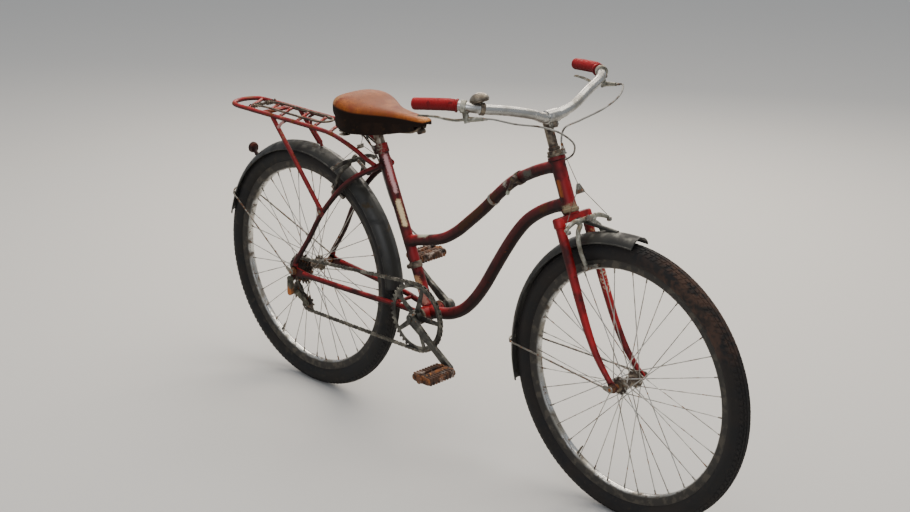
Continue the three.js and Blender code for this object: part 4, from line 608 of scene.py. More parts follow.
bar_chrome = surface("pitted_chrome_bar", ("#b4b3ae", 0.26, 0.95), [
    ("#8f8c84", 0.42, 0.8, 0.0, [(blotches, 40, 0.46, 0.66, 1.2)]),
    ("#c4c1b8", 0.5, 0.7, 0.0, [(blotches, 11, 0.62, 0.7, 2.2)]),
    ("#6d5a48", 0.7, 0.3, 0.03, [(blotches, 6, 0.7, 0.74, 3.3)]),
    # darker brown-grey in patches on the faces that look down
    ("#5f5346", 0.7, 0.3, 0.0, [(facing, -UP, 0.2, 0.9), (blotches, 14, 0.4, 0.6, 6.0)]),
])
bar_path = smooth_path([bar_place(-s, f, u) for s, f, u in BAR_STATIONS[::-1]] + [bar_place(0, 0, 0)]
                       + [bar_place(s, f, u) for s, f, u in BAR_STATIONS], 5)
sleeve_path = smooth_path([bar_place(-46, 9, 5), bar_place(-22, 1, 0), bar_place(0, 0, 0),
                           bar_place(22, 1, 0), bar_place(46, 9, 5)], 5)
piece("handlebar_chromed", "steering", bar_chrome, [
    tube(bar_path, BAR_RADIUS, 24),
    tube(sleeve_path, [11.2] + [12.6] * (len(sleeve_path) - 2) + [11.2], 24)], ["handlebar"])
piece("stem_clamp_chromed", "steering", bar_chrome, [
    turned([(-19, 14), (-18.2, 15.6), (18.2, 15.6), (19, 14)], bar_place(0, 0, 0), SIDE, 36)],
    bevel=0.4)

# The grips: moulded red rubber with fine rings and a raised collar at the inner end, painted
# brighter red on top as painted highlight, and dulled and painted dark on the underside as painted
# shade.
grip_rubber = surface("moulded_red_rubber", ("#7c0e13", 0.5, 0.0), [
    # painted highlight: brighter red on the faces that look up
    ("#a5131a", 0.55, 0.0, 0.0, [(facing, UP, 0.1, 0.8), (blotches, 30, 0.3, 0.5)]),
    # painted shade: dark red on the faces that look down
    ("#4a0c10", 0.8, 0.0, 0.0, [(facing, -UP, 0.0, 0.8)]),
    ("#5a1216", 0.85, 0.0, 0.0, [(blotches, 18, 0.58, 0.7, 2.0)]),
], Specular_IOR_Level=0.25)
GRIP_RADIUS, GRIP_GROOVE, GRIP_RING_PITCH = 13.9, 13.1, 3.2
GRIP_START = (234, -38, 74.7)
for side, hand in ((-1, "right"), (1, "left")):
    stations = [(side * out, forward, up) for out, forward, up in [GRIP_START] + BAR_STATIONS[-3:]]
    grip_path = smooth_path([bar_place(*station) for station in stations], 0.8)
    radii = []
    for i in range(len(grip_path)):
        share = (i * 0.8 % GRIP_RING_PITCH) / GRIP_RING_PITCH
        radii.append(GRIP_RADIUS if share < 0.6 else GRIP_GROOVE)
    radii[:8] = [12.4, 15.0, 15.5, 15.5, 15.5, 15.5, 15.0, 13.2]
    outward = (grip_path[-1] - grip_path[-3]).normalized()
    grip_path += [grip_path[-1] + outward * rise for rise in (1.4, 2.4, 2.9)]
    radii += [13.6, 12.4, 9.0]
    piece(f"grip_{hand}_moulded", "steering", grip_rubber,
          [tube(grip_path, radii, 26)], [f"grip_{hand}"])

# The brake levers: cast alloy brackets and flat forged blades, hinged on a screw under each end of
# the bar, with the cable coming out of a small barrel in front. They are seized and don't turn. The
# cast skin is pale and chalky with oxide, and dust lies on what faces up.
cast_alloy = surface("cast_alloy_oxidised", ("#8c8a7e", 0.5, 0.7), [
    ("#b5b2a4", 0.6, 0.4, 0.0, [(blotches, 14, 0.52, 0.64, 1.0)]),
    ("#5c584c", 0.8, 0.2, 0.0, [(blotches, 24, 0.5, 0.64, 3.6)]),
    ("#74634a", 0.95, 0.0, 0.05, [(facing, UP, 0.2, 0.9), (blotches, 20, 0.5, 0.62, 7.0)]),
    ("#5a3a22", 0.95, 0.0, 0.08, [(blotches, 5, 0.66, 0.7, 5.2)]),
])
LEVER_BLADE = [(228, -30, 41), (236, -62, 47), (250, -104, 66), (262, -140, 78)]
for side, hand in ((-1, "right"), (1, "left")):
    def lever_place(out, forward, up):
        return bar_place(side * out, forward, up)

    clamp = lever_place(230, -27, 70)
    clamp_axis = lever_place(243, -50, 81) - lever_place(222, -22, 66)
    pivot = lever_place(228, -30, 41)
    barrel_end = lever_place(222, 14, 32)
    blade = smooth_path([lever_place(*row) for row in LEVER_BLADE], 6)
    blade_rings = []
    for i, (point, across, other) in enumerate(path_frames(blade)):
        share = i / (len(blade) - 1)
        wide = 5.4 - 1.4 * share + 1.6 * max(0.0, share - 0.85) / 0.15
        thick = 3.4 - 1.0 * share
        flat = (STEER_UP - (blade[-1] - blade[0]).normalized() * STEER_UP.dot(
            (blade[-1] - blade[0]).normalized())).normalized()
        wing = (blade[-1] - blade[0]).normalized().cross(flat)
        blade_rings.append([point + flat * thick * math.sin(t) + wing * wide * math.cos(t)
                            for t in (2 * math.pi * j / 16 for j in range(16))])
    piece(f"brake_lever_{hand}_cast", "steering", cast_alloy, [
        turned([(-6, 13), (-5.4, 14.6), (5.4, 14.6), (6, 13)], clamp, clamp_axis, 30),
        tube([clamp - STEER_UP * 8, (clamp + pivot) / 2, pivot], [8, 6.6, 8], 18),
        turned([(-8, 5), (-7.4, 7.2), (7.4, 7.2), (8, 5)], pivot, STEER_UP, 20),
        tube([pivot, pivot.lerp(barrel_end, 0.5), pivot.lerp(barrel_end, 0.8), barrel_end],
             [6.4, 5.4, 4.6, 4.4], 16),
        loft(blade_rings),
    ], [f"brake_lever_{hand}"])
    piece(f"brake_lever_{hand}_screw", "steering", zinc_steel, [
        turned([(7.6, 4), (7.6, 5.2), (9.2, 5), (9.8, 3)], pivot, STEER_UP, 18),
        turned([(0, 3.6), (0.1, 4.9), (2.4, 4.7), (3, 3)],
               clamp - STEER_UP * 13 + STEER_FORWARD * 8, STEER_FORWARD, 18)])

# The bell: two spun steel cups, once nickel-plated, on a strap round the bar beside the right brake
# lever, with a thumb lever that is rusted fast. Nickel plate gives the dome a warm, blurred shine
# with brown pits, and the base has lost its plate.
bell_plate = surface("spun_nickel_plate", ("#8d8474", 0.34, 0.85), [
    ("#5f564a", 0.5, 0.6, 0.0, [(blotches, 14, 0.46, 0.6, 1.0)]),
    ("#6b4c30", 0.85, 0.1, 0.05, [(blotches, 7, 0.62, 0.67, 3.0)]),
])
bell_foot = bar_place(-196, -9, 65.1)
piece("bell_dome", "steering", bell_plate, [
    turned([(8.2, 19), (8.2, 22.1), (9.4, 22.5), (12, 22.1), (16, 20.5), (20, 17), (23, 12.7), (25, 7.4),
            (25.6, 3.6), (25.7, 2.8), (25.9, 2.4), (25.9, 0.6)], bell_foot, STEER_UP, 48)],
    ["bell"])
piece("bell_base", "steering", brown_steel, [
    turned([(0, 5), (0.2, 6), (3, 6), (3.6, 17.5), (5, 21.2), (7.6, 21.6), (8, 19)], bell_foot,
           STEER_UP, 44),
    turned([(-5, 13), (-4.6, 14.4), (4.6, 14.4), (5, 13)], bar_place(-196, -8.7, 54.4),
           bar_place(-209, -15, 60) - bar_place(-183, -4, 50), 28),
    block(bell_foot + STEER_UP * 5.6 - STEER_FORWARD * 22, (10, 8, 2), STEER_FORWARD, STEER_UP),
], bevel=0.3)

# The wheels: road tyres on chromed steel rims, thirty-six wire spokes crossing on each side, and
# steel hubs with pressed flanges, which turn on threaded axles held by cones and nuts.
TYRE_CENTRE, TYRE_SECTION, TYRE_INSIDE = 309.0, 24.6, 21
TREAD_DEPTH, TREAD_PITCHES, TREAD_SLANT = 1.7, 140, 0.018
SPOKES_PER_SIDE = 18
NIPPLE_LENGTH = 11


def wheel_point(centre, radius, angle, side=0.0):
    """A point of a wheel by its radius, its angle in degrees from the front, and its side."""
    turn = math.radians(angle)
    return centre + Vector((radius * math.cos(turn), side, radius * math.sin(turn)))


def around_wheel(section, centre, steps):
    """A ring whose section is given in rows of (radius, side)."""
    return loft([[wheel_point(centre, radius, 360 * i / steps, side) for radius, side in section]
                 for i in range(steps)], around=True)


TREAD_ROWS = [
    # degrees round the section from the crown, groove depth as a share, depth in the cross cuts
    (0, 0, 0), (6, 0, 0), (8, 1, 1), (12, 1, 1), (14, 0, 0.9), (20, 0, 0.9), (26, 0, 0.9), (28, 1, 1),
    (32, 1, 1), (34, 0, 0.1), (40, 0, 0.9), (47, 0, 0.9), (52, 0, 0.9), (55, 1, 1), (66, 0.9, 0.9),
    (80, 0.7, 0.7), (94, 0.6, 0.6), (108, 0.7, 0.7), (122, 0.8, 0.8), (136, 0.4, 0.4), (149, 0.5, 0.5),
]
CUT_PHASES = [(0.0, 0), (0.56, 0), (0.64, 1), (0.92, 1)]


def tyre_shape(centre):
    """A tyre whose crown has a centre rib, two rows of slanted blocks and shoulder blocks."""
    rows = [(-angle, *depths) for angle, *depths in TREAD_ROWS[:0:-1]] + TREAD_ROWS
    rings = []
    for pitch in range(TREAD_PITCHES):
        for phase, cut in CUT_PHASES:
            ring = []
            for angle, plain, crossed in rows:
                degrees = 360 / TREAD_PITCHES * (pitch + phase + TREAD_SLANT * abs(angle))
                depth = TREAD_DEPTH * (crossed if cut else plain)
                turn = math.radians(angle)
                radius = TYRE_CENTRE + (TYRE_SECTION - depth) * math.cos(turn)
                ring.append(wheel_point(centre, radius, degrees, (TYRE_SECTION - depth) * math.sin(turn)))
            for inner_angle in (140, 90, 0, -90, -140):
                turn = math.radians(inner_angle)
                radius = TYRE_CENTRE + TYRE_INSIDE * math.cos(turn)
                ring.append(wheel_point(centre, radius, 360 / TREAD_PITCHES * (pitch + phase),
                                        TYRE_INSIDE * math.sin(turn)))
            rings.append(ring)
    return loft(rings, around=True)


RIM_SECTION = [
    # radius and side of the steel rim, round its outline
    (292.4, 12.4), (292.8, 13.3), (291.5, 13.9), (288, 13.4), (283, 13.5), (277, 12.9), (272, 10.8),
    (268.6, 7.4), (267.2, 3.6), (267, 0), (267.2, -3.6), (268.6, -7.4), (272, -10.8), (277, -12.9),
    (283, -13.5), (288, -13.4), (291.5, -13.9), (292.8, -13.3), (292.4, -12.4), (287, -11.6),
    (281, -9.5), (280, 0), (281, 9.5), (287, 11.6),
]
# Vulcanised rubber: black and matt, greyed with dust, with a reddish brown painted highlight
# on the front's upper crown
tyre_rubber = surface("vulcanised_black_rubber", ("#171717", 0.7, 0.0), [
    ("#25221f", 0.85, 0.0, 0.0, [(blotches, 60, 0.42, 0.62)]),
    ("#33302b", 0.95, 0.0, 0.05, [(blotches, 22, 0.56, 0.68, 2.0)]),
], Specular_IOR_Level=0.3)
dusty_highlit_rubber = surface("vulcanised_rubber_dust_crown_highlight", ("#171616", 0.7, 0.0), [
    ("#25211e", 0.85, 0.0, 0.0, [(blotches, 60, 0.4, 0.6)]),
    # painted highlight: a soft reddish brown patch on the upper front of the crown
    ("#46352c", 0.95, 0.0, 0.05, [(worn_place, wheel_point(FRONT_AXLE, 330, 52), 130),
                                 (blotches, 16, 0.38, 0.56, 2.0)]),
    ("#2f2a26", 0.95, 0.0, 0.05, [(blotches, 7, 0.6, 0.7, 4.0)]),
], Specular_IOR_Level=0.3)
# Chrome on rolled steel: mirror bright on the inner side, and dark grey on both flanks
rim_chrome = surface("chromed_steel_rim", ("#c6c6c2", 0.2, 1.0), [
    ("#8e8a80", 0.4, 0.8, 0.0, [(blotches, 50, 0.46, 0.62, 1.0)]),
    ("#5f564a", 0.65, 0.4, 0.0, [(blotches, 24, 0.54, 0.66, 3.0)]),
    ("#5b3620", 0.9, 0.0, 0.06, [(blotches, 7, 0.6, 0.66, 5.0), (blotches, 60, 0.42, 0.56, 2.0)]),
    # dark grey on both flanks, all round the rim
    ("#33302b", 0.75, 0.2, 0.0, [(facing, SIDE, 0.5, 0.85)]),
    ("#33302b", 0.75, 0.2, 0.0, [(facing, -SIDE, 0.5, 0.85)]),
    ("#4a443b", 0.8, 0.1, 0.0, [(facing, -SIDE, 0.5, 0.85), (blotches, 18, 0.5, 0.62, 8.0)]),
])
# Galvanised wire: pale grey with a crisp shine, spotted brown
spoke_wire = surface("galvanised_spoke_wire", ("#c4c2bc", 0.32, 0.9), [
    ("#8b867c", 0.55, 0.7, 0.0, [(blotches, 40, 0.45, 0.6, 1.0)]),
    ("#7a5232", 0.9, 0.0, 0.03, [(blotches, 18, 0.58, 0.66, 3.0)]),
])
# Bare steel rusted all over: matt browns and oranges in flakes, with a little grey metal left
rusty_steel = surface("bare_steel_rusted", ("#5b3a26", 0.85, 0.0), [
    ("#84502a", 0.95, 0.0, 0.1, [(blotches, 20, 0.46, 0.58, 1.0)]),
    ("#2f2018", 0.85, 0.0, 0.0, [(blotches, 26, 0.52, 0.64, 3.0)]),
    ("#a8703c", 0.95, 0.0, 0.1, [(blotches, 7, 0.6, 0.66, 5.0)]),
    ("#7c766c", 0.5, 0.7, -0.05, [(blotches, 16, 0.62, 0.68, 7.0)]),
])
WHEELS = [
    # name, body, axle centre, flange offsets on the right and left, tyre, dropouts, axle half length
    ("rear", "rear_wheel", REAR_AXLE, 25, tyre_rubber, REAR_DROPOUT_SIDE, 80.3),
    ("front", "front_wheel", FRONT_AXLE, 27, dusty_highlit_rubber, FRONT_DROPOUT_SIDE, 64.3),
]
for name, body, centre, flange, tyre_look, dropout, axle_half in WHEELS:
    piece(f"{name}_tyre_treaded", body, tyre_look, [tyre_shape(centre)], [f"{name}_tyre"],
          sharp=32)
    piece(f"{name}_rim_chromed", body, rim_chrome, [around_wheel(RIM_SECTION, centre, 180)],
          [f"{name}_rim"])
    wires, nipples = [], []
    for side in (-1, 1):
        for i in range(SPOKES_PER_SIDE):
            rim_angle = 20 * i + (10 if side > 0 else 0)
            lead = 60 if i % 2 else -60
            inner = wheel_point(centre, 18, rim_angle + lead, side * (flange + (2.6 if i % 2 else -2.6)))
            outer = wheel_point(centre, 268, rim_angle, side * 3)
            wires.append(tube([inner, outer], 1.15, 8))
            inward = (inner - outer).normalized()
            nipples.append(turned([(0, 2.6), (1.5, 2.3), (2, 1.9), (NIPPLE_LENGTH, 1.7)],
                                  outer, inward, 8))
            head_side = side * (flange + (3.4 if i % 2 else -3.4))
            wires.append(turned([(-1, 1.8), (1, 1.8)],
                                wheel_point(centre, 18, rim_angle + lead, head_side), SIDE, 8))
    piece(f"{name}_spokes_wire", body, spoke_wire, wires)
    piece(f"{name}_spoke_nipples", body, zinc_steel, nipples)
    shell_end = flange + 9
    half_hub = [(0, 12.4), (flange - 8, 12.6), (flange - 4, 14.5), (flange - 2, 20.4),
                (flange - 1.4, 21), (flange + 1.4, 21), (flange + 2, 20.2), (flange + 3, 13),
                (shell_end - 1, 12.4), (shell_end, 10)]
    profile = [(-y, r) for y, r in half_hub[:0:-1]] + half_hub
    piece(f"{name}_hub_pressed", body, brown_steel,
          [turned(profile, centre, SIDE, 40)], [f"{name}_hub"])
    valve = wheel_point(centre, 268, 238)
    piece(f"{name}_valve", body, zinc_steel,
          [turned([(0, 3.4), (2, 3.4), (2.2, 2.6), (20, 2.6), (20.2, 2), (27, 2)],
                  valve, centre - valve, 12)])
    axle_shapes = [turned([(-axle_half, 3.8), (-axle_half + 1, 4.7), (axle_half - 1, 4.7),
                           (axle_half, 3.8)], centre, SIDE, 20)]
    for side in (-1, 1):
        inside = 37 if side > 0 or name == "front" else 58
        axle_shapes += [
            turned([(inside, 6), (inside + 0.2, 7.7), (dropout - 2.2, 7.7)], centre, SIDE * side, 6),
            turned([(dropout + 2.1, 5), (dropout + 2.1, 10.6), (dropout + 3.4, 10.6),
                    (dropout + 3.4, 5)], centre, SIDE * side, 24),
            turned([(dropout + 3.4, 5), (dropout + 3.4, 9.2), (dropout + 9.6, 9.2),
                    (dropout + 10.3, 7.8)], centre, SIDE * side, 6),
        ]
    piece(f"{name}_axle_threaded", "frame" if name == "rear" else "steering", rusty_steel,
          axle_shapes, [f"{name}_axle"], 0.4)

# The rear sprockets: four pressed steel toothed rings and their spacers on the freewheel, oiled
# black long ago and now dusty brown.
PITCH = 12.7
TOOTH_OUTLINE = [(-0.5, -3.4), (-0.36, -3.0), (-0.13, 3.4), (0.13, 3.4), (0.36, -3.0)]
SPROCKETS = [(14, -53.5), (16, -48), (18, -42.5), (20, -37)]
oily_steel = surface("pressed_steel_oiled_and_dusty", ("#4a4038", 0.55, 0.6), [
    ("#6d6153", 0.6, 0.5, 0.0, [(blotches, 16, 0.5, 0.62, 1.0)]),
    ("#2a211b", 0.7, 0.1, 0.03, [(blotches, 24, 0.48, 0.62, 3.0)]),
    ("#7a4c2a", 0.95, 0.0, 0.06, [(blotches, 9, 0.58, 0.64, 5.0)]),
])


def pitch_radius(teeth):
    return PITCH / (2 * math.sin(math.pi / teeth))


def toothed_ring(centre, teeth, y, thickness, bore, first=0.0):
    """A flat toothed ring with a round bore; first turns its first tooth, in degrees."""
    outer, inner = [], []
    for tooth in range(teeth):
        for share, rise in TOOTH_OUTLINE:
            angle = first + 360 * (tooth + share) / teeth
            outer.append((pitch_radius(teeth) + rise, angle))
            inner.append((bore, angle))
    half = thickness / 2
    return loft([[wheel_point(centre, radius, angle, side) for radius, angle in ring]
                 for ring, side in ((outer, y - half), (outer, y + half), (inner, y + half),
                                    (inner, y - half))], around=True)


piece("rear_sprockets_pressed", "rear_wheel", oily_steel,
      [toothed_ring(REAR_AXLE, teeth, y, 2.0, 20) for teeth, y in SPROCKETS]
      + [turned([(34.6, 12), (35, 22), (55.6, 22), (56.2, 12)], REAR_AXLE, -SIDE, 32)],
      ["rear_sprockets"], sharp=30)

# The mudguards: rolled steel sheet with wired edges and a low ridge along the crown, painted dark
# grey and gone dusty. Each hangs on the frame in the middle and on one bent wire stay at the back.
# The brushed paint has a dull sheen, and its upward faces are painted paler grey as painted highlight.
FENDER_SECTION, FENDER_SHEET, FENDER_HALF_TURN = 33.0, 1.4, 68
fender_paint = surface("painted_sheet_steel_grey", ("#292824", 0.42, 0.15), [
    # painted highlight: lighter grey on the faces that look up
    ("#3d3c35", 0.5, 0.2, 0.0, [(facing, UP, 0.3, 1.0), (blotches, 50, 0.38, 0.6)]),
    # painted highlight: pale grey on the faces that look most nearly up
    ("#77756c", 0.45, 0.3, 0.0, [(facing, UP, 0.6, 1.0), (blotches, 26, 0.52, 0.66, 2.0)]),
    ("#171614", 0.7, 0.0, 0.0, [(blotches, 34, 0.5, 0.64, 4.0)]),
    ("#3b3122", 0.95, 0.0, 0.05, [(blotches, 30, 0.6, 0.7, 9.0)]),
])
FENDERS = [
    # name, body, axle centre, crown radius, first and last angle, stay angle, stay foot's side
    ("rear", "frame", REAR_AXLE, 345, 4, 165.6, 154, 78.5),
    ("front", "steering", FRONT_AXLE, 352, 86.7, 195, 178, 62.5),
]


def dented(centre, crown, angle, turn, sheet):
    """A point of the mudguard's sheet, a little out of true as hammered steel is."""
    wave = noise.noise(Vector((angle * 0.05, turn * 0.012, crown * 0.1)))
    ridge = 1.2 * math.exp(-(turn / 5) ** 2)
    radius = FENDER_SECTION - sheet + ridge + 0.8 * wave - 1.2
    across = math.radians(turn)
    return wheel_point(centre, crown - FENDER_SECTION + radius * math.cos(across), angle,
                       radius * math.sin(across))


for name, body, centre, crown, first, last, stay_angle, foot_side in FENDERS:
    turns = [FENDER_HALF_TURN * i / 12 for i in range(-12, 13)]
    angles = [first + (last - first) * i / 90 for i in range(91)]
    rings = [[dented(centre, crown, angle, turn, 0) for turn in turns]
             + [dented(centre, crown, angle, turn, FENDER_SHEET) for turn in turns[::-1]]
             for angle in angles]
    shapes = [loft(rings)]
    for edge in (turns[0], turns[-1]):
        shapes.append(tube([dented(centre, crown, angle, edge, 0.7) for angle in angles], 1.7, 8))
    for angle in (first, last):
        shapes.append(tube([dented(centre, crown, angle, turn, 0.7) for turn in turns], 1.5, 8))
    if name == "front":
        shapes.append(tube([steered(384.7, 6), steered(384.7, 20), wheel_point(centre, crown - 2, 97)],
                           5, 14))
    else:
        lug = rear_brake_place(348, -20)
        shapes.append(tube([lug, seat_bridge], 4.5, 12))
        shapes.append(tube([wheel_point(centre, crown - 2, 5.5), (352, 0, 330)], 4.5, 12))
    piece(f"{name}_fender_rolled", body, fender_paint, shapes, [f"{name}_fender"],
          sharp=50)
    wrap, section = 35.9, crown - FENDER_SECTION
    hoop = [wheel_point(centre, section + wrap * math.cos(math.radians(t)), stay_angle,
                        wrap * math.sin(math.radians(t))) for t in range(-96, 97, 8)]
    feet = [wheel_point(centre, 16, stay_angle, -foot_side), wheel_point(centre, 16, stay_angle, foot_side)]
    stay_shapes = [tube([feet[0]] + hoop + [feet[1]], 2.2, 10)]
    for side in (-1, 1):
        foot = feet[0] if side < 0 else feet[1]
        stay_shapes.append(plate(hull((centre.x, centre.z, 8), (foot.x, foot.z, 5)),
                                 side * foot_side, 2.4))
    piece(f"{name}_fender_stay_wire", body, zinc_steel, stay_shapes,
          [f"{name}_fender_stay"], 0.3)
    clips = [block(wheel_point(centre, section + 34.4 * math.cos(math.radians(t)), stay_angle,
                               34.4 * math.sin(math.radians(t))), (9, 4, 7),
                   wheel_point(Vector((0, 0, 0)), 1, stay_angle + 90),
                   Vector((math.cos(math.radians(stay_angle)) * math.cos(math.radians(t)),
                           math.sin(math.radians(t)),
                           math.sin(math.radians(stay_angle)) * math.cos(math.radians(t)))))
             for t in (-58, 0, 58)]
    piece(f"{name}_fender_clips", body, zinc_steel, clips, bevel=0.6)

# The tail reflector: a moulded dark red lens in a pressed cup on the rear mudguard, its upper half
# crusted with rust from the cup. The plastic is nearly black, with a soft shine.
REFLECTOR_ANGLE = 130.5
REARWARD = (-1, 0, 0)
reflector_centre = wheel_point(REAR_AXLE, 369, REFLECTOR_ANGLE)
lens_plastic = surface("moulded_lens_plastic", ("#2a0908", 0.3, 0.0), [
    ("#4a1e12", 0.85, 0.0, 0.1, [(height_band, reflector_centre.z + 3, 2000),
                                (blotches, 9, 0.36, 0.5)]),
    ("#241613", 0.8, 0.0, 0.0, [(blotches, 12, 0.5, 0.62, 3.0)]),
], Specular_IOR_Level=0.3)
piece("tail_reflector_cup", "frame", lens_plastic, [
    tube([wheel_point(REAR_AXLE, 346.2, REFLECTOR_ANGLE), reflector_centre], [6, 4.6], 16),
    turned([(-8, 6), (-7, 11.8), (-2, 14.6), (3.6, 15), (4.6, 14.4), (5, 12.8), (7.4, 8.6), (8.2, 4),
            (8.6, 1)], reflector_centre, REARWARD, 36)], ["tail_reflector"], sharp=30)
lens_ribs = [turned([(4.4 + i * 0.75, 13 - i * 2.2), (5.3 + i * 0.7, 12.6 - i * 2.2),
                     (5.4 + i * 0.7, 11.8 - i * 2.2)], reflector_centre, REARWARD, 36)
             for i in range(5)]
piece("tail_reflector_prisms", "frame", lens_plastic, lens_ribs, sharp=20)

# The carrier: bent steel tube welded to rungs over the rear wheel, with a sprung wire clip on top
# and two struts that run down to the stays. Its red enamel is brighter than the frame's, painted
# brighter still on top as painted highlight, rubbed through to pink primer and brown rust where
# loads lay, and painted dark on the underside as painted shade.
RACK_HEIGHT = 742
RAIL_STATIONS = [
    # x, half width, height over the deck
    (-242, 47, 0), (-200, 48, 0), (-60, 48, 0), (60, 48, 0), (140, 47, -3), (190, 44, -16),
    (232, 39, -33), (262, 33, -50), (286, 27, -62),
]
RUNG_PLACES, RUNG_HALF, RUNG_SLANT = [-223, -150, -95, -25, 45, 110], 47, 26
rack_enamel = surface("stove_enamel_rack_red", ("#6a1417", 0.42, 0.0), [
    # painted highlight: brighter red on the faces that look up
    ("#98201f", 0.5, 0.0, 0.0, [(facing, UP, 0.1, 0.8), (blotches, 40, 0.36, 0.58)]),
    # painted shade: near-black red on the faces that look down
    ("#2c0a0a", 0.7, 0.0, 0.0, [(facing, -UP, -0.3, 0.5)]),
    ("#8a5540", 0.85, 0.0, -0.05, [(facing, UP, 0.1, 0.6), (blotches, 30, 0.6, 0.66, 5.0)]),
    ("#6a3418", 0.95, 0.0, 0.1, [(blotches, 24, 0.58, 0.64, 7.0)]),
    ("#b98a84", 0.8, 0.0, 0.0, [(worn_place, (-64, -50, 718), 5, 0.5, (-44, -49, 736))]),
], Specular_IOR_Level=0.3)
rear_loop = [(-263, 41.6, 0), (-278.4, 24, 0), (-284, 0, 0), (-278.4, -24, 0), (-263, -41.6, 0)]
rail_row = [(x, y, RACK_HEIGHT + dz) for x, y, dz in RAIL_STATIONS[::-1]]
rail_row += [(x, y, RACK_HEIGHT + dz) for x, y, dz in rear_loop]
rail_row += [(x, -y, RACK_HEIGHT + dz) for x, y, dz in RAIL_STATIONS]
rack_shapes = [tube(smooth_path(rail_row, 8), 6, 18)]
for x in RUNG_PLACES:
    rack_shapes.append(tube([(x + RUNG_SLANT, -RUNG_HALF, RACK_HEIGHT),
                             (x - RUNG_SLANT, RUNG_HALF, RACK_HEIGHT)], 4.5, 14))
rack_shapes.append(block((-130, 0, RACK_HEIGHT + 1), (22, 94, 6)))
strap_foot = wheel_point(REAR_AXLE, 346, 82)
rack_shapes += [
    tube([(8, 0, RACK_HEIGHT), (8, 0, RACK_HEIGHT - 14), strap_foot + UP * 12, strap_foot], 3.5, 12),
    tube([(-25, 0, RACK_HEIGHT), (45, 0, RACK_HEIGHT)], 3.5, 12),
]
piece("rack_deck_welded", "frame", rack_enamel, rack_shapes, ["rack_deck"], 0.5)
for side, hand in ((-1, "right"), (1, "left")):
    piece(f"rack_strut_{hand}_bent", "frame", rack_enamel, [
        tube([(-92, side * 48, RACK_HEIGHT - 3), (-85, side * 48.3, RACK_HEIGHT - 11),
              (102, side * 56.7, 531.6), (109, side * 57, 524)], [6, 6, 6, 5], 16),
        tube([(-68, side * 49.1, 714), (-54, side * 48.7, 729), (-36, side * 48, 739)], 4, 12),
        plate(hull((105, 529, 9), (111, 520, 9)), side * 61, 4),
    ], [f"rack_strut_{hand}"], 0.5)
    piece(f"rack_strut_{hand}_bolt", "frame", rusty_steel, [
        turned([(0, 5), (0, 6.2), (4, 6.2), (4, 3)], (108, side * 62.5, 524), SIDE * side, 6)],
        bevel=0.4)
CLIP_HINGE, HINGE_HEIGHT, CLIP_HEIGHT, CLIP_COIL = -190, 747.4, 751.4, 5.8
clip_left = [(CLIP_HINGE, 26, HINGE_HEIGHT)]
clip_left += [(x, y, CLIP_HEIGHT) for x, y in ((-150, 27), (-40, 27), (50, 26), (78, 16))]
clip_row = clip_left + [(86, 0, CLIP_HEIGHT)] + [(x, -y, z) for x, y, z in clip_left[::-1]]
clip_shapes = [tube(smooth_path(clip_row, 7), 3, 12),
               tube([(CLIP_HINGE, -31, HINGE_HEIGHT), (CLIP_HINGE, 31, HINGE_HEIGHT)], 4, 14)]
for side in (-1, 1):
    coil = [(CLIP_HINGE + CLIP_COIL * math.cos(t), side * (8 + 1.25 * t),
             HINGE_HEIGHT + CLIP_COIL * math.sin(t)) for t in (math.pi * i / 6 for i in range(60))]
    clip_shapes.append(tube(coil, 1.5, 8))
piece("rack_clip_sprung", "frame", brown_steel, clip_shapes, ["rack_clip"])

# The seat post and the saddle's undercarriage: a plated steel post, a clamp across its top, two
# bent wire rails and a pair of coil springs under the rear of the saddle.
# Plated steel rubbed by the clamp: a brown-grey shine with rust stains
post_steel = surface("seat_post_steel_browned", ("#7a6e60", 0.45, 0.7), [
    ("#9d9282", 0.35, 0.85, 0.0, [(blotches, 22, 0.5, 0.62, 1.0)]),
    ("#4e3826", 0.9, 0.0, 0.06, [(blotches, 18, 0.52, 0.62, 3.0)]),
])
POST_FOOT, POST_TOP = 362, SEAT_TUBE_LENGTH + 42
piece("seat_post_plated", "frame", post_steel, [
    turned([(0, 12), (0.5, 12.7), (POST_TOP - POST_FOOT - 1, 12.7), (POST_TOP - POST_FOOT, 11)],
           seated(POST_FOOT), SEAT_UP, 32)], ["seat_post"])
CLAMP_CENTRE = Vector((257.8, 0, 768))
SPRING_FOOT, SPRING_ROOF, SPRING_RADIUS, SPRING_TURNS = 748, 792, 12.6, 4.5
SPRING_PLACE, SPRING_SIDE, COIL_STEPS = 190, 42, 110
frame_shapes = [
    turned([(-26, 8), (-25, 10), (-17, 10), (-16, 8), (16, 8), (17, 10), (25, 10), (26, 8)],
           CLAMP_CENTRE, SIDE, 28),
    turned([(-14, 15), (-13, 16.4), (8, 16.4), (9, 14)], CLAMP_CENTRE, SEAT_UP, 28),
    tube([(SPRING_PLACE, -46, 750), (SPRING_PLACE, 46, 750)], 4.2, 14),
    turned([(-11, 5), (-10, 6), (10, 6), (11, 5)], (426, 0, 791), SIDE, 18),
]
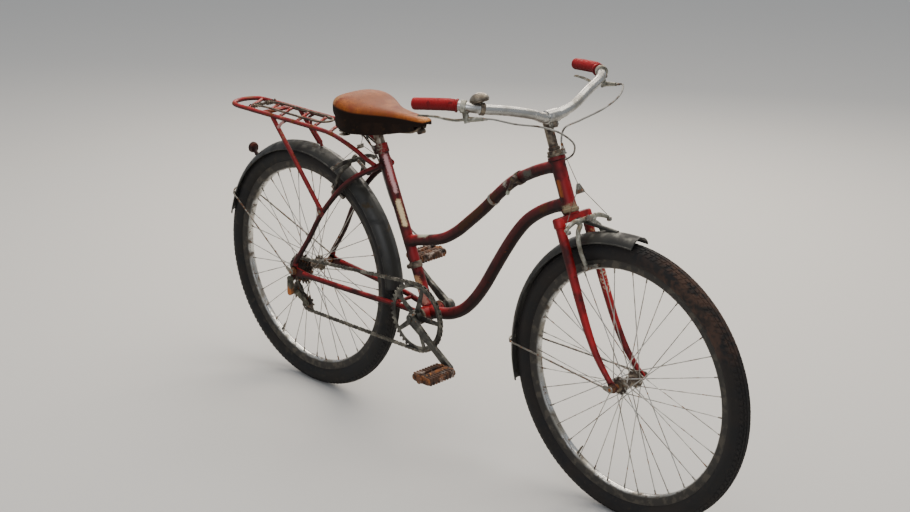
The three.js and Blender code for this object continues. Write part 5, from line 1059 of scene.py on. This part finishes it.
for side in (-1, 1):
    rail = [(SPRING_PLACE, SPRING_SIDE, 752), (215, 34, 757), (257.8, 20, 768), (330, 14, 777),
            (405, 10, 788), (430, 8, 803)]
    frame_shapes.append(tube(smooth_path([(x, side * y, z) for x, y, z in rail], 5), 3.5, 12))
    turns = [2 * math.pi * SPRING_TURNS * i / COIL_STEPS for i in range(COIL_STEPS + 1)]
    coil = [(SPRING_PLACE + SPRING_RADIUS * math.cos(t),
             side * (SPRING_SIDE + SPRING_RADIUS * math.sin(t) * side),
             SPRING_FOOT + 2 + (SPRING_ROOF - SPRING_FOOT - 6) * i / COIL_STEPS)
            for i, t in enumerate(turns)]
    frame_shapes.append(tube(coil, 2.1, 10))
    frame_shapes.append(turned([(0, 8), (0, 14.6), (2, 14.6), (2, 8)],
                               (SPRING_PLACE, side * SPRING_SIDE, 745.6), UP, 28))
piece("saddle_frame_sprung", "frame", brown_steel, frame_shapes, ["saddle_frame"], 0.4)
piece("saddle_clamp_nuts", "frame", zinc_steel, [
    turned([(26, 4), (26, 8), (31, 8), (32, 6)], CLAMP_CENTRE, SIDE * side, 6)
    for side in (-1, 1)], bevel=0.5)

# The saddle: a padded top of tan grained vinyl pulled over a steel pan and turned under a dark
# skirt. The sun has bleached its crown, and the edges and the nose are rubbed, and painted paler
# there as a painted highlight of their shine.
SADDLE_STATIONS = [
    # x, half width, top and bottom height
    (160, 46, 839, 804), (164, 56, 843, 799), (178, 72, 848, 788), (196, 81, 849, 784),
    (214, 86, 849, 782), (234, 85, 845.5, 781.6), (255, 79, 840, 782), (277, 67, 837, 782),
    (298, 54, 834, 784), (321, 42, 832, 787), (345, 33, 831, 790), (372, 28, 830, 794),
    (400, 24, 829, 797), (422, 22.4, 828.4, 799), (438, 20, 827, 802), (446, 16.4, 825, 804.6),
    (450, 12, 822, 808),
]
# Vinyl with a leather grain pressed into it: a soft sheen, mottled tan, with fine cracks. The grain
# is about 1 mm apart and is drawn at 2 mm to show.
saddle_vinyl = surface("grained_tan_vinyl", ("#7c3d14", 0.55, 0.0), [
    ("#9a541c", 0.5, 0.0, 0.0, [(blotches, 60, 0.4, 0.6, 1.0)]),
    ("#74321a", 0.6, 0.0, 0.0, [(blotches, 40, 0.5, 0.66, 3.0)]),
    # rubbed nose, painted paler as a painted highlight
    ("#b87838", 0.5, 0.0, 0.0, [(worn_place, (440, 0, 826), 16)]),
    # rubbed rear edge, painted paler as a painted highlight
    ("#a8794c", 0.5, 0.0, 0.0, [(worn_place, (176, -62, 838), 20)]),
    ("#4a2010", 0.7, 0.0, -0.06, [(blotches, 7, 0.66, 0.72, 5.0)]),
    ("#6a381a", 0.55, 0.0, 0.05, [(blotches, 2.2, 0.5, 0.6, 7.0)]),
    ("#180d06", 0.75, 0.0, 0.0, [(facing, UP, 0.3, 0.12)]),
], Specular_IOR_Level=0.15)
saddle_rings = []
for x, half_width, top, bottom in SADDLE_STATIONS:
    ring = []
    for j in range(36):
        turn = 2 * math.pi * j / 36
        c, s = math.cos(turn), math.sin(turn)
        y = half_width * math.copysign(abs(c) ** 0.6, c)
        middle, half_height = (top + bottom) / 2, (top - bottom) / 2
        z = middle + half_height * math.copysign(abs(s) ** 0.62, s)
        if s < -0.2:
            z += 10 * (1 - (abs(y) / half_width) ** 2)
        ring.append(Vector((x, y, z)))
    saddle_rings.append(ring)
saddle = piece("saddle_padded", "frame", saddle_vinyl, [loft(saddle_rings)],
               ["saddle"], sharp=60)
smoothing = saddle.modifiers.new("stretched_cover", "SUBSURF")
smoothing.levels = smoothing.render_levels = 2
SKIRT_STATIONS = [
    # x, half width, top and bottom height
    (196, 79, 806, 776), (214, 84.6, 806, 771), (234, 83.4, 806, 767), (255, 77.4, 805, 765),
    (277, 65.4, 805, 765), (298, 52.6, 806, 766), (321, 40.8, 807, 769), (345, 31.8, 808, 774),
    (372, 27, 810, 781), (400, 23, 811, 788), (422, 21.4, 812, 795),
]
# Pressed leather dyed black: matt, with scuffs that show its brown
skirt_leather = surface("pressed_black_leather", ("#150b05", 0.7, 0.0), [
    ("#22140b", 0.7, 0.0, 0.0, [(blotches, 30, 0.45, 0.62, 2.0)]),
    ("#2c1e12", 0.9, 0.0, 0.03, [(blotches, 9, 0.6, 0.67, 6.0)]),
], Specular_IOR_Level=0.15)
SKIRT_SHEET = 1.2
for side, hand in ((-1, "right"), (1, "left")):
    sheets = [[Vector((x, side * (half + bow), z)) for z, bow in (
        (top, 0), ((top + bottom) / 2, 1.0), (bottom, -2), (bottom, -2 - SKIRT_SHEET),
        ((top + bottom) / 2, 1.0 - SKIRT_SHEET), (top, -SKIRT_SHEET))]
        for x, half, top, bottom in SKIRT_STATIONS]
    piece(f"saddle_skirt_{hand}", "frame", skirt_leather, [loft(sheets)],
          bevel=0.3, sharp=60)
rivets = [turned([(0, 3.6), (1.2, 3.4), (2.2, 2.2), (2.5, 0.6)], (x, y, z), (nx, ny, nz), 14)
          for x, y, z, nx, ny, nz in ((166, -44, 818, -0.9, -0.3, 0.1), (166, 44, 818, -0.9, 0.3, 0.1),
                                      (161, 0, 820, -1, 0, 0.1))]
piece("saddle_rivets", "frame", zinc_steel, rivets)

# The brakes: centre-pull callipers, a pair of crossed forged alloy arms on one bolt, with rubber
# blocks in steel shoes. A straddle wire joins the arms of each, hung from the brake cable.
ARM_STATIONS = [
    # radius from the axle, forward, side, bar radius
    (371, 4, 72, 4.2), (381, 4, 50, 5.2), (384, 4, 30, 5.6), (374, 4, 22, 6.4), (362, 5, 34, 5.6),
    (343, 5, 41, 5.2), (312, 3, 41, 4.8), (292, 3, 38, 5.0), (284, 3, 37, 4.6),
]
# Cast alloy black with road dirt, and moulded brake rubber with grit pressed in
sooty_alloy = surface("cast_alloy_sooty", ("#4a473f", 0.6, 0.4), [
    ("#6d695d", 0.6, 0.4, 0.0, [(blotches, 14, 0.52, 0.64, 1.0)]),
    ("#231f1a", 0.8, 0.1, 0.0, [(blotches, 24, 0.46, 0.6, 3.6)]),
])
block_rubber = surface("brake_block_rubber", ("#24201d", 0.8, 0.0), [
    ("#4e4336", 0.95, 0.0, 0.05, [(blotches, 8, 0.5, 0.62)])], Specular_IOR_Level=0.3)


def front_brake_place(radius, forward, side=0.0):
    return steered(radius, FORK_RAKE + forward, side)


BRAKES = [
    # name, body, place function, bolt's far end, arms' surface
    ("front", "steering", front_brake_place, -15, cast_alloy),
    ("rear", "frame", rear_brake_place, -40.7, sooty_alloy),
]
for name, body, brake_place, bolt_end, arm_look in BRAKES:
    ahead = (brake_place(300, 1) - brake_place(300, 0)).normalized()
    outward = (brake_place(301, 0) - brake_place(300, 0)).normalized()
    arms, pads, fittings = [], [], []
    for side in (-1, 1):
        path = smooth_path([brake_place(r, f + side * 0.8, side * s) for r, f, s, _ in ARM_STATIONS], 5)
        widths = [row[3] for row in ARM_STATIONS]
        radii = []
        for i in range(len(path)):
            at = i / (len(path) - 1) * (len(widths) - 1)
            low = min(int(at), len(widths) - 2)
            radii.append(widths[low] + (widths[low + 1] - widths[low]) * (at - low))
        arms.append(tube(path, radii, 14))
        stud = brake_place(277, 3, side * 30)
        fittings.append(tube([stud - SIDE * side * 8, stud + SIDE * side * 9], 3.4, 12))
        fittings.append(turned([(5, 4), (5, 6.8), (10, 6.8), (10, 4)], stud, SIDE * side, 6))
        fittings.append(turned([(0, 4), (0, 5), (9, 5), (9, 3)], brake_place(366, 4, side * 70),
                               ahead, 6))
        fittings.append(block(brake_place(277, 2, side * 24.4), (50, 2.4, 9), ahead, outward))
        pads.append(block(brake_place(277, 2, side * 20.4), (52, 6.6, 8), ahead, outward))
        for i in range(4):
            pads.append(block(brake_place(277, -18 + i * 13, side * 17.6), (9, 2.4, 8), ahead, outward))
    arms.append(tube([brake_place(383, 4, -32), brake_place(383, 4, 32)], [6, 6], 16))
    piece(f"{name}_brake_forged", body, arm_look, arms, [f"{name}_brake"], sharp=50)
    piece(f"{name}_brake_blocks", body, block_rubber, pads, bevel=0.6)
    fittings += [
        turned([(bolt_end, 3), (bolt_end + 0.5, 4.5), (12, 4.5), (12.5, 3)], brake_place(383, 0),
               ahead, 18),
        turned([(9.8, 5), (9.8, 8.4), (15, 8.4), (15.6, 7)], brake_place(383, 0), ahead, 6),
    ]
    piece(f"{name}_brake_fittings", body, zinc_steel, fittings, bevel=0.4)

# The chain set: a steel ring of forty-four teeth with five spokes, cottered to the axle with the
# right crank. The cranks are forged steel, plated once and now dark grey with a dull shine.
RING_TEETH, RING_SIDE, RING_BAND = 44, -48, 12
RING_RADIUS = pitch_radius(RING_TEETH)
CRANK_SIDE, CRANK_LENGTH = 66, 165
CRANK_DIRECTION = Vector((0.829, 0, -0.559))
COTTER_DIRECTION = Vector((-0.559, 0, -0.829))
ring_shapes = [toothed_ring(BOTTOM_BRACKET, RING_TEETH, RING_SIDE, 2.4, RING_RADIUS - RING_BAND)]
for i in range(5):
    root = wheel_point(BOTTOM_BRACKET, 14, 2 + 72 * i)
    rim = wheel_point(BOTTOM_BRACKET, RING_RADIUS - RING_BAND + 2, 2 + 72 * i)
    ring_shapes.append(plate(hull((root.x, root.z, 8), (rim.x, rim.z, 5.5)), RING_SIDE, 2.3))
ring_shapes.append(turned([(44, 15), (44.3, 19), (58.5, 19), (59, 15)], BOTTOM_BRACKET, -SIDE, 32))
# Plated steel worn dark: grey metal in patches between black oil and a few rust spots
ring_steel = surface("ring_steel_dark", ("#4a4944", 0.42, 0.8), [
    ("#75736b", 0.36, 0.85, 0.0, [(blotches, 24, 0.5, 0.62, 1.0)]),
    ("#26231f", 0.7, 0.3, 0.0, [(blotches, 30, 0.5, 0.64, 3.0)]),
    ("#6a4428", 0.95, 0.0, 0.06, [(blotches, 8, 0.66, 0.7, 5.0)]),
])
piece("chainring_pressed", "crankset", ring_steel, ring_shapes, ["chainring"], sharp=30)
eyes = {}
for side, hand in ((-1, "right"), (1, "left")):
    eye = BOTTOM_BRACKET + CRANK_DIRECTION * CRANK_LENGTH * -side
    eyes[hand] = eye
    middle = BOTTOM_BRACKET.lerp(eye, 0.5)
    crank_shapes = [
        plate(hull((BOTTOM_BRACKET.x, BOTTOM_BRACKET.z, 12.5), (middle.x, middle.z, 7.5)),
              side * CRANK_SIDE, 12),
        plate(hull((middle.x, middle.z, 7.5), (eye.x, eye.z, 9.5)), side * CRANK_SIDE, 11.6),
    ]
    if side < 0:
        crank_shapes.append(turned([(60, 8), (66, 8.3), (75, 8.3), (76, 7)], BOTTOM_BRACKET, -SIDE, 24))
    else:
        crank_shapes.append(turned([(54, 15), (54.5, 17), (75, 17), (76, 15)], BOTTOM_BRACKET, SIDE, 28))
    piece(f"crank_{hand}_forged", "crankset", ring_steel, crank_shapes,
          [f"crank_{hand}"], 2.4)
    cotter = BOTTOM_BRACKET + COTTER_DIRECTION * side * 6 + SIDE * side * CRANK_SIDE
    piece(f"crank_{hand}_cotter", "crankset", zinc_steel, [
        turned([(-17, 3), (-16, 4.2), (14, 4.6), (15, 3)], cotter, COTTER_DIRECTION, 14)])
piece("bottom_bracket_cups", "frame", brown_steel, [
    turned([(34, 14), (34, 21.4), (38.5, 21.4), (39.5, 19), (39.5, 9), (42, 8)], BOTTOM_BRACKET,
           SIDE * side, 36) for side in (-1, 1)], bevel=0.4)

# The pedals: a steel barrel on the spindle, two pressed end plates and two moulded tread blocks
# held by through bolts. The rubber is matt and brown with rust and clay, and pale where it is worn.
pedal_crust = surface("pedal_blocks_rust_stained", ("#4d3426", 0.85, 0.0), [
    ("#8a5430", 0.95, 0.0, 0.15, [(blotches, 26, 0.48, 0.62, 1.0)]),
    ("#a39184", 0.9, 0.0, 0.05, [(blotches, 22, 0.56, 0.64, 8.0)]),
    ("#241b16", 0.85, 0.0, 0.0, [(blotches, 18, 0.52, 0.64, 3.0)]),
])
TREAD_PLACE = 21
for side, hand in ((-1, "right"), (1, "left")):
    eye = eyes[hand]
    metal_shapes = [
        turned([(75, 8), (75.4, 10.5), (92, 9), (148, 8.6), (163.6, 10.5), (164, 8)], eye,
               SIDE * side, 24),
        turned([(66, 5), (66, 6), (170, 6), (170.2, 9), (172, 9), (172, 4)], eye, SIDE * side, 20),
        turned([(59.6, 4), (59.6, 7.2), (72, 7.2), (74, 6)], eye, SIDE * side, 18),
    ]
    for y in (77, 162.4):
        metal_shapes.append(plate(hull((eye.x - 22, eye.z, 9), (eye.x + 22, eye.z, 9)), side * y, 3))
    for x in (-TREAD_PLACE, TREAD_PLACE):
        metal_shapes.append(tube([(eye.x + x, side * 73.6, eye.z), (eye.x + x, side * 166, eye.z)],
                                 2.6, 10))
    piece(f"pedal_{hand}_cage", f"pedal_{hand}", rusty_steel, metal_shapes,
          [f"pedal_{hand}"], 0.5)
    treads = []
    for x in (-TREAD_PLACE, TREAD_PLACE):
        treads.append(block((eye.x + x, side * 119.6, eye.z), (17, 82, 15.6)))
        for i in range(9):
            y = side * (82.5 + i * 9.3)
            treads.append(block((eye.x + x, y, eye.z), (19.6, 5.4, 19.6)))
    piece(f"pedal_{hand}_treads", f"pedal_{hand}", pedal_crust, treads, bevel=0.7)

# The rear gear: two small pulleys between cage plates, on a pressed link bolted to the hanger. The
# chain runs from the ring over both pulleys and the second sprocket; it is seized and doesn't move.
# Old oil and dust make the chain a matt grey-brown, and the gear olive with one bright rust spot.
GUIDE_PULLEY, TENSION_PULLEY = Vector((-12, 0, 272)), Vector((33, 0, 248))
PULLEY_TEETH, CHAIN_SPROCKET_TEETH = 10, 16
CHAIN_WHEELS = [
    # centre, pitch radius, turn: 1 against the clock when seen from the right
    (BOTTOM_BRACKET, RING_RADIUS, -1),
    (TENSION_PULLEY, pitch_radius(PULLEY_TEETH), -1),
    (GUIDE_PULLEY, pitch_radius(PULLEY_TEETH), 1),
    (REAR_AXLE, pitch_radius(CHAIN_SPROCKET_TEETH), -1),
]


def chain_heading(start, end):
    """The direction of the straight stretch between two chain wheels."""
    (a, ra, ta), (b, rb, tb) = start, end
    away = b - a
    return math.atan2(away.z, away.x) - math.asin((tb * rb - ta * ra) / away.length)


def chain_pins():
    """Pins at even steps round the chain's loop, an even number of them."""
    count = len(CHAIN_WHEELS)
    headings = [chain_heading(CHAIN_WHEELS[i], CHAIN_WHEELS[(i + 1) % count]) for i in range(count)]
    points = []

    def follow(wheel, first, last):
        centre, radius, turn = wheel
        sweep = ((last - first) * turn) % (2 * math.pi)
        steps = max(1, math.ceil(sweep / math.radians(2)))
        for i in range(steps + 1):
            heading = first + turn * sweep * i / steps
            points.append((centre.x + turn * radius * math.sin(heading),
                           centre.z - turn * radius * math.cos(heading)))

    front = -math.pi / 2
    follow(CHAIN_WHEELS[0], front, headings[0])
    for i in range(1, count):
        follow(CHAIN_WHEELS[i], headings[i - 1], headings[i])
    follow(CHAIN_WHEELS[0], headings[-1], front)
    runs = [0.0]
    for a, b in zip(points, points[1:]):
        runs.append(runs[-1] + math.dist(a, b))
    links = 2 * round(runs[-1] / (2 * math.pi * RING_RADIUS / RING_TEETH) / 2)
    pins, at = [], 1
    for i in range(links):
        run = runs[-1] * i / links
        while runs[at] < run:
            at += 1
        share = (run - runs[at - 1]) / (runs[at] - runs[at - 1])
        (ax, az), (bx, bz) = points[at - 1], points[at]
        pins.append(Vector((ax + (bx - ax) * share, RING_SIDE, az + (bz - az) * share)))
    return pins


def link_plate(a, b, y, thickness):
    """One waisted side plate of a link, between its two pins."""
    along = (b - a).normalized()
    up = Vector((-along.z, 0, along.x))
    half = (b - a).length / 2
    middle = (a + b) / 2
    outline = []
    for turn in range(-90, 91, 30):
        outline.append((half + 4.1 * math.cos(math.radians(turn)), 4.1 * math.sin(math.radians(turn))))
    outline.append((0, 3.0))
    for turn in range(90, 271, 30):
        outline.append((-half + 4.1 * math.cos(math.radians(turn)), 4.1 * math.sin(math.radians(turn))))
    outline.append((0, -3.0))
    return plate([((middle + along * x + up * z).x, (middle + along * x + up * z).z)
                  for x, z in outline], y, thickness)


chain_shapes = []
pins = chain_pins()
for i, (a, b) in enumerate(zip(pins, pins[1:] + pins[:1])):
    gap = 3.4 if i % 2 else 2.3
    for side in (-1, 1):
        chain_shapes.append(link_plate(a, b, RING_SIDE + side * gap, 0.9))
    chain_shapes.append(turned([(-4.4, 1.9), (4.4, 1.9)], a, SIDE, 8))
    chain_shapes.append(turned([(-1.8, 3.8), (1.8, 3.8)], a, SIDE, 10))
chain_steel = surface("chain_steel_dusty", ("#55524a", 0.5, 0.6), [
    ("#7c776b", 0.6, 0.4, 0.0, [(blotches, 20, 0.48, 0.62, 1.0)]),
    ("#332f28", 0.7, 0.2, 0.0, [(blotches, 26, 0.5, 0.62, 3.0)]),
    ("#5f4228", 0.95, 0.0, 0.04, [(blotches, 12, 0.64, 0.7, 5.0)]),
])
piece("chain_linked", "frame", chain_steel, chain_shapes, ["chain"], sharp=30)

CAGE_GAP, CAGE_SHEET = 5.4, 1.6
gear_shapes = []
for side in (-1, 1):
    gear_shapes.append(plate(hull((GUIDE_PULLEY.x, GUIDE_PULLEY.z, 9),
                                  (TENSION_PULLEY.x, TENSION_PULLEY.z, 9)),
                             RING_SIDE + side * (CAGE_GAP + CAGE_SHEET / 2), CAGE_SHEET))
pulleys = []
for pulley in (GUIDE_PULLEY, TENSION_PULLEY):
    axle = pulley + SIDE * RING_SIDE
    pulleys.append(toothed_ring(pulley, PULLEY_TEETH, RING_SIDE, 2.2, 4))
    pulleys.append(turned([(-4.6, 6), (-4.4, 8), (4.4, 8), (4.6, 6)], axle, SIDE, 20))
    gear_shapes.append(turned([(-8.6, 3), (-8.4, 4.6), (8.4, 4.6), (8.6, 3)], axle, SIDE, 6))
LINK_SIDE, LINK_THICKNESS = -72.8, 9
gear_shapes += [
    plate(hull((HANGER_EYE.x, HANGER_EYE.z, 9), (GUIDE_PULLEY.x, GUIDE_PULLEY.z, 8)),
          LINK_SIDE, LINK_THICKNESS),
    turned([(55, 6), (55.4, 7), (68, 7)], GUIDE_PULLEY, -SIDE, 20),
    turned([(77.2, 5), (77.3, 7.4), (79.6, 7), (80, 5)], HANGER_EYE, -SIDE, 6),
]
gear_steel = surface("rear_gear_steel_olive", ("#4d4a3d", 0.6, 0.4), [
    ("#6c6a5c", 0.55, 0.5, 0.0, [(blotches, 16, 0.5, 0.62, 1.0)]),
    ("#2b261e", 0.8, 0.1, 0.0, [(blotches, 22, 0.5, 0.62, 3.0)]),
    ("#a5602c", 0.95, 0.0, 0.1, [(worn_place, (-12, -76, 276), 11)]),
])
piece("rear_derailleur_pressed", "frame", gear_steel, gear_shapes, ["rear_derailleur"], 0.5)
piece("rear_derailleur_pulleys", "frame", oily_steel, pulleys, sharp=30)

# The small clamped fittings on the tubes: the gear lever and its band, a cable clip and the seat
# tube's band, all pressed steel drawn tight by one screw. The lever is brown and matt, with bare
# metal at its tip.
GEAR_LEVER_TURN, CLIP_TURN = math.radians(35), math.radians(43)
lever_band = Vector((756, 0, 745))
band_axis = Vector((math.cos(GEAR_LEVER_TURN), 0, math.sin(GEAR_LEVER_TURN)))
lever_steel = surface("pressed_steel_lever", ("#33261e", 0.6, 0.3), [
    ("#a3a796", 0.55, 0.5, 0.0, [(worn_place, (740, -22, 711), 9)]),
    ("#5a4a36", 0.85, 0.1, 0.04, [(blotches, 10, 0.5, 0.62, 3.0)]),
])
piece("gear_lever_pressed", "frame", lever_steel, [
    turned([(-7, 14.6), (-7, 16.2), (7, 16.2), (7, 14.6)], lever_band, band_axis, 32),
    turned([(14, 8), (14.4, 9), (25.4, 9), (26, 7.6)], lever_band, -SIDE, 26),
    tube([(756, -22, 745), (751.6, -22.5, 736), (747, -23, 726), (742.4, -23, 716), (738.6, -23, 707.4),
          (738, -23, 706)], [5, 4.6, 4.2, 4.2, 4.8, 3.6], 14),
], ["gear_lever"], 0.4)
clip_centre = Vector((672, 0, 674))
clip_axis = Vector((math.cos(CLIP_TURN), 0, math.sin(CLIP_TURN)))
piece("cable_clip_band", "frame", zinc_steel, [
    turned([(-4.5, 14.4), (-4.5, 15.6), (4.5, 15.6), (4.5, 14.4)], clip_centre, clip_axis, 30),
    block(clip_centre + Vector((0, 17.6, 0)), (9, 8, 6), clip_axis, SIDE),
], ["cable_clip"], 0.4)
piece("seat_tube_band_pressed", "frame", brown_steel, [
    turned([(118, 14.6), (118, 16.6), (134, 16.6), (134, 14.6)], BOTTOM_BRACKET, SEAT_UP, 32),
    turned([(14.3, 5), (14.6, 6), (27, 6), (27.3, 5)], seated(126), -SIDE, 20),
    turned([(27, 2), (27.2, 3), (29.6, 3), (30, 2)], seated(126), -SIDE, 12),
], ["seat_tube_band"], 0.4)
seat_clamp_axle = seated(430) + Vector((-19, 0, 0))
piece("seat_clamp_bolt", "frame", zinc_steel, [
    turned([(-14, 4), (-13.6, 6.4), (-9, 6.4), (-9, 3.4), (9, 3.4), (9, 6), (13.6, 6), (14, 4)],
           seat_clamp_axle, SIDE, 6)], bevel=0.4)

# The cables: wire in grey ribbed covers, each held by its lever's barrel at one end and by a stop
# at the other, and the bare wires that pull the brakes from those stops. The extruded vinyl is pale
# grey with a dull sheen, stained in places.
COVER_RADIUS, FERRULE_RADIUS, WIRE_RADIUS = 2.2, 3.1, 0.9
cable_cover = surface("grey_vinyl_cable_cover", ("#7d7b74", 0.55, 0.0), [
    ("#a09d94", 0.6, 0.0, 0.0, [(blotches, 24, 0.5, 0.64, 1.0)]),
    ("#4a423a", 0.85, 0.0, 0.0, [(blotches, 30, 0.52, 0.64, 3.0)]),
    ("#7a5133", 0.95, 0.0, 0.05, [(blotches, 9, 0.62, 0.67, 5.0)]),
])
HANGER_PLACE = Vector((212, 0, 736))
STRADDLE_UP, YOKE_FORWARD = 450, 44
front_stop = steered(550.3, 27)


def cover_from_lever(side):
    """The first two points of a cover, straight out of its lever's barrel."""
    barrel = bar_place(side * 222, 14, 32)
    pivot = bar_place(side * 228, -30, 41)
    out = (barrel - pivot).normalized()
    return [barrel + out * 0.3, barrel + out * 22]


front_route = cover_from_lever(1) + [steered(632, 76, 176), steered(612, 80, 108), steered(600, 60, 42),
                                     steered(592, 38, 9), front_stop + STEER_UP * 14, front_stop]
loop_route = cover_from_lever(-1) + [steered(630, 72, -172), steered(610, 80, -108), steered(584, 72, -42),
                                     steered(550, 50, 14), steered(528, 16, 34), (856, 29, 799),
                                     (823.6, 21, 779.3)]
rear_route = [(823, 21, 779), (779, 21, 757), (734, 21, 730), (688, 21, 689), (642, 21, 643),
              (594, 21, 600), (545, 21, 559), (495, 21, 530), (430, 21, 511)]
rear_route += [seated(along, back, side) for along, back, side in (
    (198, -8, 22), (222, 10, 21), (250, 21, 12), (285, 24, 3), (345, 24, 0), (400, 25, 0), (440, 36, 0),
    (478, 45, 0))]
rear_route += [(222, 0, 772), (213, 0, 766), (212, 0, 754)]


def ferrule(foot, far):
    """The pressed end cap of a cover, its mouth at foot."""
    foot, far = Vector(foot), Vector(far)
    return turned([(-0.2, 2.6), (0, FERRULE_RADIUS), (11, FERRULE_RADIUS), (11.6, 2.6)],
                  foot, far - foot, 14)


piece("front_brake_cable_cover", "steering", cable_cover,
      [tube(smooth_path(front_route, 6), COVER_RADIUS, 12)], ["front_brake_cable"])
loop_cover = piece("rear_brake_cable_loop_cover", None, cable_cover,
                   [tube(smooth_path(loop_route, 6), COVER_RADIUS, 12)], ["rear_brake_cable_loop"])
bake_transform(loop_cover)
piece("rear_brake_cable_cover", "frame", cable_cover,
      [tube(smooth_path(rear_route, 6), COVER_RADIUS, 12)], ["rear_brake_cable"])
piece("steering_cable_ferrules", "steering", zinc_steel, [
    ferrule(front_route[0], front_route[1]), ferrule(front_stop, front_stop + STEER_UP),
    ferrule(loop_route[0], loop_route[1])])
piece("rear_cable_hanger_pressed", "frame", zinc_steel, [
    turned([(0, 3), (0.4, 4.5), (17, 4.5), (17.6, 3)], HANGER_PLACE, UP, 18),
] + [tube([HANGER_PLACE + Vector((0, side * 3, 8)), (259.2, side * 11, 719.6)], 2.4, 10)
     for side in (1, -1)], ["rear_cable_hanger"])
yoke_middle = steered(STRADDLE_UP, YOKE_FORWARD)
yoke_rings = [[yoke_middle + STEER_FORWARD * depth + STEER_UP * up + SIDE * side
               for up, side in ((-8, -14), (-8, 14), (-3, 14), (15, 4), (15, -4), (-3, -14))]
              for depth in (-1.6, 1.6)]
straddle_shapes = [tube([front_stop - STEER_UP * 14, yoke_middle + STEER_UP * 12], WIRE_RADIUS, 8),
                   loft(yoke_rings)]
for side in (-1, 1):
    straddle_shapes.append(tube([yoke_middle + SIDE * side * 9, front_brake_place(378, 4, side * 71)],
                                WIRE_RADIUS, 8))
piece("front_straddle_wires", "steering", zinc_steel, straddle_shapes,
      ["front_straddle_wire"], 0.5)
rear_yoke = HANGER_PLACE.lerp(rear_brake_place(383, 4), 0.42)
rear_wires = [tube([HANGER_PLACE, rear_yoke], WIRE_RADIUS, 8), block(rear_yoke, (4, 20, 11))]
for side in (-1, 1):
    rear_wires.append(tube([rear_yoke + SIDE * side * 8, rear_brake_place(378, 4, side * 71)],
                           WIRE_RADIUS, 8))
piece("rear_straddle_wires", "frame", zinc_steel, rear_wires, bevel=0.5)
